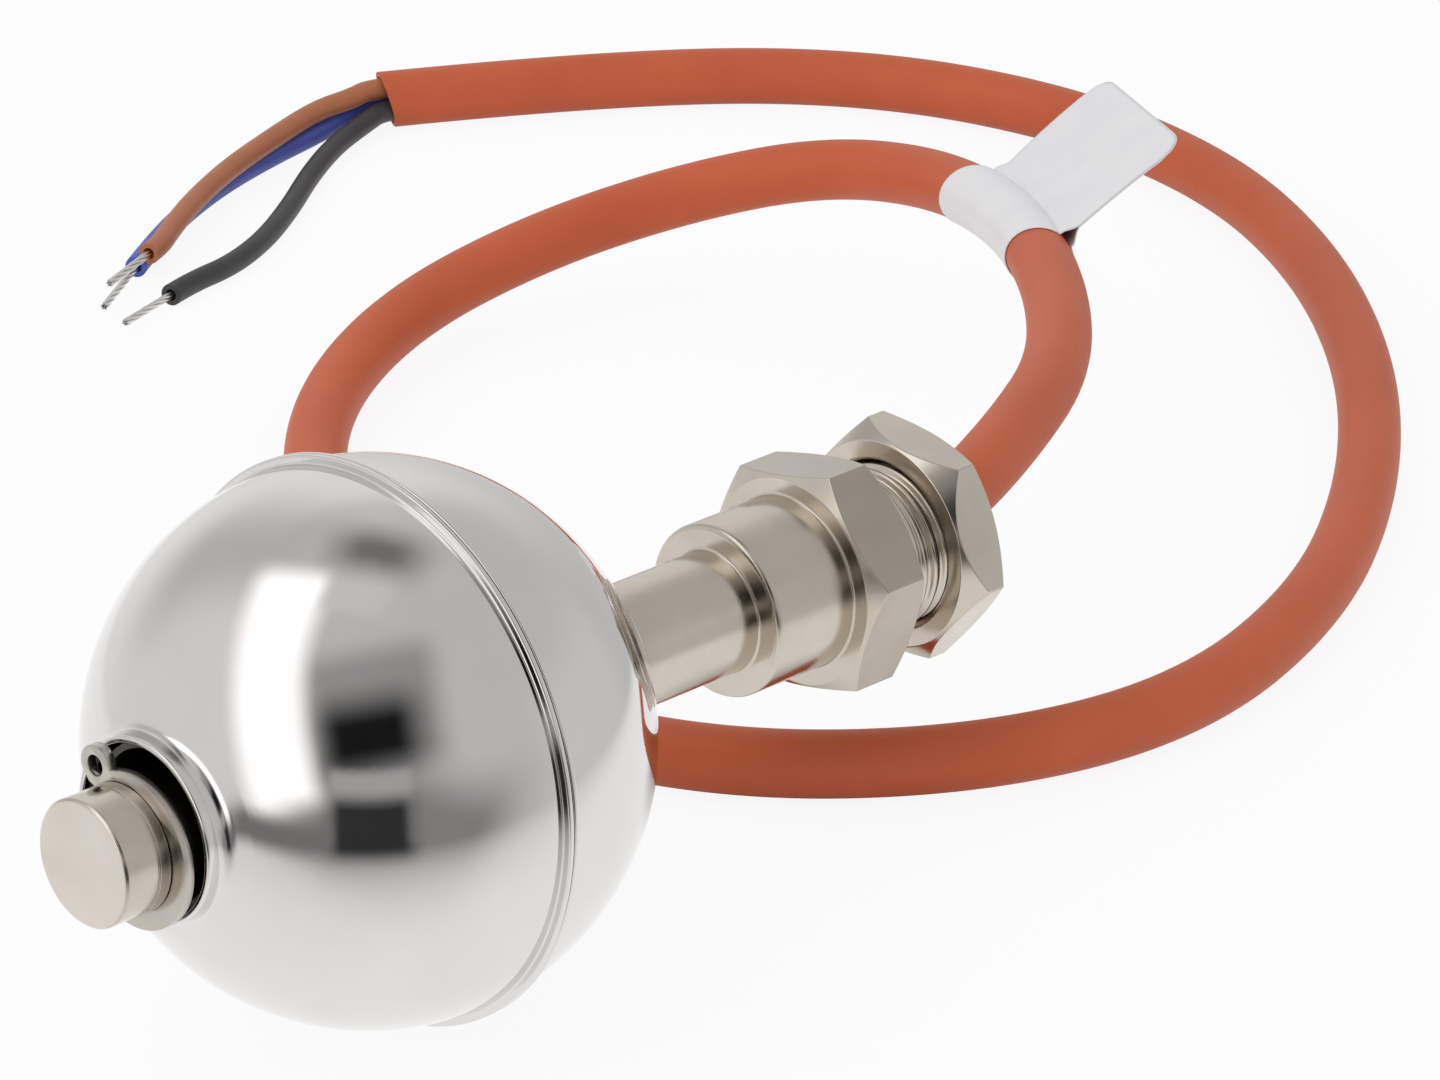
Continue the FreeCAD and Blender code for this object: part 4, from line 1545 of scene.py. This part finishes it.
@dataclass
class FlagLabel:
    """The bare white film round the cable, its two ends stuck together as a flag.

    Attributes:
        wrap: middle of the wrap along the cable's line.
        hinge: place along that line from which the flat flag stands off.
        width: width of the film along the cable.
        slant: how far the film has slid along the cable where the flag leaves it.
        ease: gap between cable and film.
        film: thickness of the film.
        rise: angle of the flag above the level direction to the right of travel.
        reach: distance of the flag's edge from the cable's middle.
        edge_width: width of the flag at its edge.
        edge_shift: how far the middle of that edge lies along the cable from the hinge.
        corner: radius of the flag's corners.
        droop: how far the flag's edge bends down.
        lift: height of the stuck faces above the flag's radial plane, as a share of the wrap's opening.
    """

    wrap: float = 97.0
    hinge: float = 96.0
    width: float = 26.4
    slant: float = 2.6
    ease: float = 0.06
    film: float = 0.14
    rise: float = 37.5
    reach: float = 18.8
    edge_width: float = 29.0
    edge_shift: float = 2.0
    corner: float = 3.2
    droop: float = 0.8
    lift: float = 0.2

    ROWS = 72
    WRAP_STEPS = 48
    FLAG_STEPS = 26
    GAP_ANGLE = 16.0
    CLOSED_AT = 0.16
    STUCK_SHARE = 0.52

    def outward(self, track: Track) -> Array:
        """Directions in which the flag leaves a line: to its right and up by the rise."""
        tilt = np.radians(self.rise)
        return np.sin(tilt) * track.above - np.cos(tilt) * track.left

    def build(self, cable: Cable) -> Piece:
        """Makes the film as one sheet and thickens it.

        Across the cable the sheet runs in along the flag's upper face, round the cable by a full turn less
        twice the gap angle, and out along its lower face, which closes on the upper one. Each row runs
        straight from the wrap to a point of one straight edge, which a quarter circle draws in at both
        corners.

        Args:
            cable: the cable that it wraps.

        Returns:
            The label.
        """
        gap = math.radians(self.GAP_ANGLE)
        turned = np.linspace(gap, 2 * math.pi - gap, self.WRAP_STEPS)
        place = np.linspace(-self.width / 2, self.width / 2, self.ROWS)[:, None]
        wrap = cable.track.at(self.wrap + place - self.slant * (1 + np.cos(turned)) / 2)
        radius = cable.radius + self.ease + self.film / 2
        outward = self.outward(wrap)
        upward = np.cross(outward, wrap.along)
        across = np.cos(turned)[:, None] * outward + np.sin(turned)[:, None] * upward
        wrapped = wrap.points + radius * across
        out, up = outward[:, :1], upward[:, :1]
        hinge = cable.track.at(np.array(self.hinge))
        edge_out = self.outward(hinge)
        along_edge = place * self.edge_width / self.width
        missing = np.maximum(self.corner - (self.edge_width / 2 - np.abs(along_edge)), 0)
        drawn_in = self.corner - np.sqrt(self.corner**2 - missing**2)
        edge = hinge.points + (self.reach - drawn_in) * edge_out
        edge = edge + (along_edge + self.edge_shift) * hinge.along
        share = np.linspace(1, 0, self.FLAG_STEPS, endpoint=False)[:, None]
        opening = radius * math.sin(gap)
        root = wrap.points[:, :1] + radius * math.cos(gap) * out + self.lift * opening * up
        flag = root + share * (edge[:, None] - root)
        flag = flag - self.droop * share**2 * np.cross(edge_out, hinge.along)
        open_share = 1 - smooth_step(0, self.CLOSED_AT, share)
        stuck = self.STUCK_SHARE * self.film
        upper = (1 - self.lift) * opening * open_share + stuck
        lower = (1 + self.lift) * opening * open_share + stuck
        grid = np.concatenate([flag + upper * up, wrapped, (flag - lower * up)[:, ::-1]], axis=1)
        quads = lattice(*grid.shape[:2], False, False)
        piece = fill_mesh("cable_label_film", grid.reshape(-1, 3), quads.tolist())
        solid = piece.modifiers.new("film", "SOLIDIFY")
        solid.thickness = self.film * MM
        solid.offset = 0.0
        return assign(piece, FILM, Body.STEM, "cable_label")


@dataclass
class Core:
    """One insulated core from the cable's end, with its twisted tinned strands.

    Attributes:
        name: the core's colour.
        finish: the insulation's finish.
        clock: its place in the cable's section, from the left of travel upwards.
        route: points after it has left the cable.
        radius: radius of the insulation.
        spread: distance from the cable's middle.
        hidden: how deep inside the cable's open end it starts.
        straight: length of its straight stretch past the cable's end.
        bare: length of the stripped end.
        wire: radius of one wire.
        lay: length of one turn of the strands.
    """

    name: str
    finish: Plastic
    clock: float
    route: tuple[Triple, ...]
    radius: float = 1.25
    spread: float = 1.5
    hidden: float = 4.0
    straight: float = 2.0
    bare: float = 11.0
    wire: float = 0.15
    lay: float = 11.0

    COLUMNS = 28
    PER_RUN = 18
    CUT_REACH = 0.3
    CUT_DEPTH = 0.6
    CUT_ROUND = 0.1
    BORE_SHARE = 0.52
    WIRES = 6
    WIRE_COLUMNS = 10
    WIRE_ROWS = 40
    WIRE_HIDDEN = 1.0
    TIP_LEAST = 0.04

    def build(self, cable: Cable) -> None:
        """Makes the insulation and the strands.

        Args:
            cable: the cable that it leaves.
        """
        end = cable.track.onward(np.array([-self.hidden, 0.0, self.straight]))
        begin, place, leave = end.points + self.spread * end.across(np.radians(self.clock))
        track = Track.through(spline_points(np.vstack([begin, leave, self.route]), self.PER_RUN))
        bore = self.radius * self.BORE_SHARE
        cut = rounded(
            np.array([
                (0.0, self.radius), (self.CUT_REACH, self.radius),
                (self.CUT_REACH, bore), (-self.CUT_DEPTH, bore),
            ]),
            [self.CUT_ROUND, self.CUT_ROUND],
        )
        grid = np.concatenate([
            track.ring(self.radius, self.COLUMNS),
            track.onward(cut[:, 0]).ring(cut[:, 1], self.COLUMNS),
        ])
        tube = skin(f"core_{self.name}_insulation", [grid])
        core = assign(tube, self.finish, Body.STEM, f"core_{self.name}")
        strands = self.strands(track)

    def strands(self, track: Track) -> Piece:
        """Makes six wires twisted round a seventh, straight on from the insulation's end.

        A wire's middle is the line's point + twice the wire's radius (cos(a) left + sin(a) above), where a
        grows by a full turn over the lay. Its rings close to a rounded tip.

        Args:
            track: the core's line.

        Returns:
            The strands.
        """
        s = np.linspace(-self.WIRE_HIDDEN, self.bare, self.WIRE_ROWS)
        line = track.onward(s)
        past = np.maximum(s - self.bare + self.wire, 0) / self.wire
        radius = self.wire * np.sqrt(np.clip(1 - past**2, self.TIP_LEAST, 1))
        grids = []
        for number in range(self.WIRES + 1):
            angle = np.radians(FULL_TURN * (number / self.WIRES + s / self.lay))
            reach = 2 * self.wire if number < self.WIRES else 0.0
            wire = replace(line, points=line.points + reach * line.across(angle))
            grids.append(wire.ring(radius, self.WIRE_COLUMNS))
        piece = skin(f"strands_{self.name}_twisted", grids)
        return assign(piece, TINNED, Body.STEM, f"strands_{self.name}")


CORES = (
    Core("brown", BROWN, 90.0, (
        (131.5, 170.8, 4.6), (126.2, 171.3, 4.3), (117.5, 168.7, 4.0), (106.9, 164.9, 3.8),
        (96.9, 159.9, 3.6), (89.5, 155.2, 3.4), (86.2, 152.9, 3.3), (84.0, 152.1, 3.2),
    ), bare=9.5),
    Core("blue", BLUE, 210.0, (
        (132.4, 172.3, 1.95), (125.9, 170.9, 1.6), (116.9, 169.4, 1.35), (106.8, 166.5, 1.25),
        (97.2, 162.2, 1.25), (89.5, 157.8, 1.25), (83.4, 153.8, 1.27),
    ), bare=13.0),
    Core("black", BLACK, 330.0, (
        (131.1, 168.3, 2.2), (124.4, 166.0, 1.8), (116.6, 161.6, 1.4), (108.1, 155.5, 1.25),
        (99.3, 149.9, 1.25), (91.3, 146.5, 1.25), (84.7, 145.7, 1.26), (80.6, 144.4, 1.28),
    ), straight=0.5, bare=10.0),
)


@dataclass
class SwitchInside:
    """The sealed reed switch, its board, leads and resin, carried over from the frame."""

    def dress(self) -> None:
        """Dresses every piece inside the stem."""
        dress(LAMINATE, "reed_board")
        dress(GLASS, "reed_glass")
        dress(REED_METAL, "reed_common_blade", "reed_open_contact", "reed_closed_contact")
        for core in CORES:
            dress(core.finish, f"board_lead_{core.name}")
        dress(POTTING, "cable_potting")


# The studio


@dataclass(frozen=True)
class Camera:
    """The camera at the viewing angle of the photograph.

    Attributes:
        position: its place.
        azimuth: its bearing, 0 when it looks along +Y.
        elevation: its height above the horizon.
        lens: focal length for a sensor of the given width.
        sensor: width of the sensor.
    """

    position: Triple = (-428.8, -461.32, 314.48)
    azimuth: float = -44.513
    elevation: float = 23.508
    lens: float = 189.29
    sensor: float = 36.0

    NEAR = 10.0
    FAR = 50000.0

    def axes(self) -> tuple[Vector, Vector, Vector]:
        """Finds the directions to the right, up and back from the view.

        Returns:
            Three directions of length one.
        """
        a, e = math.radians(self.azimuth), math.radians(self.elevation)
        right = Vector((math.cos(a), math.sin(a), 0.0))
        back = Vector((math.sin(a) * math.cos(e), -math.cos(a) * math.cos(e), math.sin(e)))
        return right, back.cross(right), back

    def build(self) -> None:
        """Makes the camera and sets it as the scene's."""
        data = bpy.data.cameras.new("photo_camera")
        data.sensor_fit = "HORIZONTAL"
        data.sensor_width = self.sensor
        data.lens = self.lens
        data.clip_start, data.clip_end = self.NEAR * MM, self.FAR * MM
        camera = bpy.data.objects.new("photo_camera", data)
        turned = Matrix(self.axes()).transposed().to_4x4()
        turned.translation = Vector(self.position) * MM
        camera.matrix_world = turned
        bpy.context.scene.collection.objects.link(camera)
        bpy.context.scene.camera = camera


@dataclass(frozen=True)
class SoftBox:
    """A square-edged soft lamp that faces the float.

    Attributes:
        name: the lamp's name.
        direction: direction from the float to the lamp.
        distance: its distance.
        size: its length and width.
        roll: turn of its length from level, seen from the float.
        radiance: its brightness, where 1 is white.
    """

    name: str
    direction: Triple
    distance: float
    size: tuple[float, float]
    roll: float
    radiance: float

    AIM = (-19.4, 0.0, 26.8)

    def build(self) -> None:
        """Makes the lamp, with a power of radiance x pi x area.

        The camera and mirrors don't see it: they see the tent's patches instead.
        """
        data = bpy.data.lights.new(self.name, "AREA")
        data.shape = "RECTANGLE"
        data.size, data.size_y = (side * MM for side in self.size)
        data.energy = self.radiance * math.pi * data.size * data.size_y
        lamp = bpy.data.objects.new(self.name, data)
        away = Vector(self.direction).normalized()
        side = Vector((0.0, 0.0, 1.0)).cross(away).normalized()
        turned = Matrix((side, away.cross(side), away)).transposed()
        turned = turned @ Matrix.Rotation(math.radians(self.roll), 3, "Z")
        place = (Vector(self.AIM) + away * self.distance) * MM
        lamp.matrix_world = Matrix.Translation(place) @ turned.to_4x4()
        lamp.visible_camera = False
        lamp.visible_glossy = False
        bpy.context.scene.collection.objects.link(lamp)


@dataclass(frozen=True)
class Patch:
    """A four-sided patch of the light tent, as mirrors see it, with soft edges.

    Attributes:
        azimuth: bearing of its middle, from the camera's towards the right of the view.
        elevation: height of its middle above the horizon.
        width: half its width.
        height: half its height.
        edge: angle over which it fades out beyond them.
        level: its brightness, where 1 is white.
        roll: lean of its height to the right.
    """

    azimuth: float
    elevation: float
    width: float
    height: float
    edge: float
    level: float
    roll: float = 0.0

    FRONT = 0.15

    def axes(self, camera: Camera) -> tuple[Vector, Vector, Vector]:
        """Finds the directions of its middle, across it and up it.

        Args:
            camera: the camera, from whose bearing its own is counted.

        Returns:
            Three directions of length one.
        """
        right, _, back = camera.axes()
        ahead = Vector((back.x, back.y, 0.0)).normalized()
        a, e = math.radians(self.azimuth), math.radians(self.elevation)
        level = math.cos(a) * ahead + math.sin(a) * right
        middle = math.cos(e) * level + Vector((0.0, 0.0, math.sin(e)))
        across = math.cos(a) * right - math.sin(a) * ahead
        turned = Matrix.Rotation(-math.radians(self.roll), 3, middle)
        return middle, turned @ across, turned @ middle.cross(across)

    def share(self, graph: Graph, direction: Socket, camera: Camera) -> Socket:
        """Wires how much of a direction it takes: 1 inside, fading to 0 across its edges and behind.

        Args:
            graph: the world's graph.
            direction: the direction.
            camera: the camera.

        Returns:
            The share.
        """
        middle, across, up = self.axes(camera)
        ahead = graph.measure("DOT_PRODUCT", direction, middle)
        product = graph.between(ahead, 0.0, self.FRONT, fade=Fade.SMOOTH)
        for axis, half in ((across, self.width), (up, self.height)):
            outer, inner = (math.sin(math.radians(angle)) for angle in (half + self.edge, half))
            reach = graph.math("ABSOLUTE", graph.measure("DOT_PRODUCT", direction, axis))
            product = graph.math("MULTIPLY", product, graph.between(reach, outer, inner, fade=Fade.SMOOTH))
        return product


@dataclass(frozen=True)
class Tent:
    """The pale light tent round the object: a floor, and walls with soft patches.

    Attributes:
        floor_size: side of the floor.
        floor: colour of the floor.
        fill: brightness of the light that the tent gives.
        wall: brightness of its walls in mirrors.
        patches: lighter and darker patches of the walls, each laid over those before it.
        sweep_behind: distance behind the float of the middle of the floor's flat part.
        sweep_start: radius at which the floor starts to run into the walls, as mirrors see it.
        sweep_end: radius at which it has become wall.
        shade_at: place under the stem round which mirrors see the floor's own shade.
        shade_start: radius at which that shade starts to fade.
        shade_end: radius at which it has faded.
    """

    floor_size: float = 14000.0
    floor: Colour = (0.9, 0.9, 0.905)
    fill: float = 0.78
    wall: float = 0.61
    # Each patch: bearing, height, half width, half height, soft edge, level and lean.
    patches: tuple[Patch, ...] = (
        Patch(-92.0, 18.0, 62.0, 26.0, 14.0, 0.80, 6.0),
        Patch(104.0, 0.0, 14.0, 10.0, 22.0, 0.70),
        Patch(-159.0, 7.0, 2.0, 27.0, 36.0, 0.88, -43.0),
        Patch(-134.0, 39.0, 1.0, 13.0, 30.0, 0.56, 7.0),
        Patch(7.0, 38.0, 17.0, 15.0, 16.0, 0.35, -8.0),
        Patch(12.0, -17.0, 25.0, 16.0, 27.0, 0.25, 29.0),
        Patch(3.0, 27.0, 10.0, 4.0, 20.0, 0.01, -9.0),
        Patch(3.0, -2.0, 13.0, 12.0, 6.0, 0.44),
        Patch(3.0, -11.0, 11.0, 8.0, 10.0, 0.01),
        Patch(-50.0, 38.0, 7.0, 39.0, 13.0, 1.5, -30.0),
        Patch(175.0, 84.0, 7.0, 16.0, 8.0, 0.68, 12.0),
        Patch(168.0, 74.0, 4.0, 1.0, 18.0, 0.20),
        Patch(-33.0, -15.0, 15.0, 2.0, 9.0, 0.18, 5.0),
    )
    sweep_behind: float = 104.0
    sweep_start: float = 123.0
    sweep_end: float = 222.0
    shade_at: tuple[float, float] = (44.0, 6.0)
    shade_start: float = 8.0
    shade_end: float = 24.0

    FLOOR_DROP = 0.02
    CAMERA_WHITE = 0.9
    MIRROR_WHITE = 0.97
    MIRROR_SHADE = 0.25

    def build(self, camera: Camera) -> None:
        """Makes the floor and the world.

        Args:
            camera: the camera.
        """
        half = self.floor_size / 2
        corners = np.array([(-half, -half), (half, -half), (half, half), (-half, half)])
        points = np.column_stack([corners, np.full(4, -self.FLOOR_DROP)])
        floor = fill_mesh("studio_floor", points, [[0, 1, 2, 3]])
        floor.data.materials.append(self.floor_material(camera))
        self.make_world(camera)

    def floor_material(self, camera: Camera) -> bpy.types.Material:
        """Makes a matt pale floor that the camera sees lifted towards white, with the shadow kept.

        Mirrors see its own shade under the stem, white round the float, and further out the tent's walls.

        Args:
            camera: the camera.

        Returns:
            The material.
        """
        graph = SurfaceGraph("studio_floor_pale")
        graph.set(Base_Color=(*self.floor, 1.0), Roughness=0.9, Specular_IOR_Level=0.1)
        _, _, back = camera.axes()
        behind = -Vector((back.x, back.y, 0.0)).normalized() * self.sweep_behind
        middle = (Vector((*SoftBox.AIM[:2], 0.0)) + behind) * MM
        away = graph.measure("DISTANCE", graph.place, middle)
        flat = graph.between(away, self.sweep_end * MM, self.sweep_start * MM, fade=Fade.SMOOTH)
        near = graph.measure("DISTANCE", graph.place, Vector((*self.shade_at, 0.0)) * MM)
        shade = (self.shade_start * MM, self.shade_end * MM)
        mirrored = graph.between(near, *shade, self.MIRROR_SHADE, self.MIRROR_WHITE, Fade.SMOOTH)
        path = graph.add("ShaderNodeLightPath")
        seen = path.outputs["Is Camera Ray"]
        white = graph.add("ShaderNodeEmission", {"Strength": 1.0})
        clear = graph.add("ShaderNodeBsdfTransparent")
        lit = graph.math("MAXIMUM", seen, flat)
        swept = graph.add("ShaderNodeMixShader", {0: lit, 1: clear.outputs[0], 2: white.outputs[0]})
        share = graph.math(
            "ADD",
            graph.math("MULTIPLY", seen, self.CAMERA_WHITE),
            graph.math("MULTIPLY", path.outputs["Is Glossy Ray"], mirrored),
        )
        mixed = graph.add("ShaderNodeMixShader", {0: share, 1: graph.shader.outputs[0], 2: swept.outputs[0]})
        graph.feed(graph.tree.nodes["Material Output"].inputs["Surface"], mixed.outputs[0])
        return graph.result

    def make_world(self, camera: Camera) -> None:
        """Makes the world: white to the camera, the tent's walls to mirrors, and an even light to the rest.

        Args:
            camera: the camera.
        """
        world = bpy.data.worlds.new("light_tent")
        world.use_nodes = True
        bpy.context.scene.world = world
        graph = Graph(world.node_tree)
        direction = graph.add("ShaderNodeTexCoord").outputs["Generated"]
        level: Socket | float = self.wall
        for patch in self.patches:
            level = graph.mix(patch.share(graph, direction, camera), level, patch.level)
        path = graph.add("ShaderNodeLightPath")
        lit = graph.mix(path.outputs["Is Glossy Ray"], self.fill, level)
        seen = graph.math("MAXIMUM", path.outputs["Is Camera Ray"], path.outputs["Is Transmission Ray"])
        background = graph.tree.nodes["Background"].inputs
        graph.feed(background["Color"], (1.0, 1.0, 1.0, 1.0))
        graph.feed(background["Strength"], graph.mix(seen, lit, 1.0))


KEY_BOX = SoftBox(
    "key_box", direction=(-0.78, 0.10, 0.615), distance=450.0, size=(900.0, 330.0), roll=-50.0, radiance=1.0
)


def main() -> None:
    """Builds the camera and the cords, then every sub-assembly and the studio."""
    logging.basicConfig(level=logging.INFO, format="%(name)s %(message)s")
    bpy.context.scene.view_settings.view_transform = "Standard"
    camera = Camera()
    camera.build()
    cable = Cable()
    jacket = cable.build()
    label = FlagLabel().build(cable)
    for core in CORES:
        core.build(cable)
    ball = BallFloat()
    ball.build()
    ball.dress()
    Stem().build()
    LockNut().build()
    RetainingRing().build()
    SwitchInside().dress()
    Tent().build(camera)
    KEY_BOX.build()


if __name__ == "__main__":
    main()
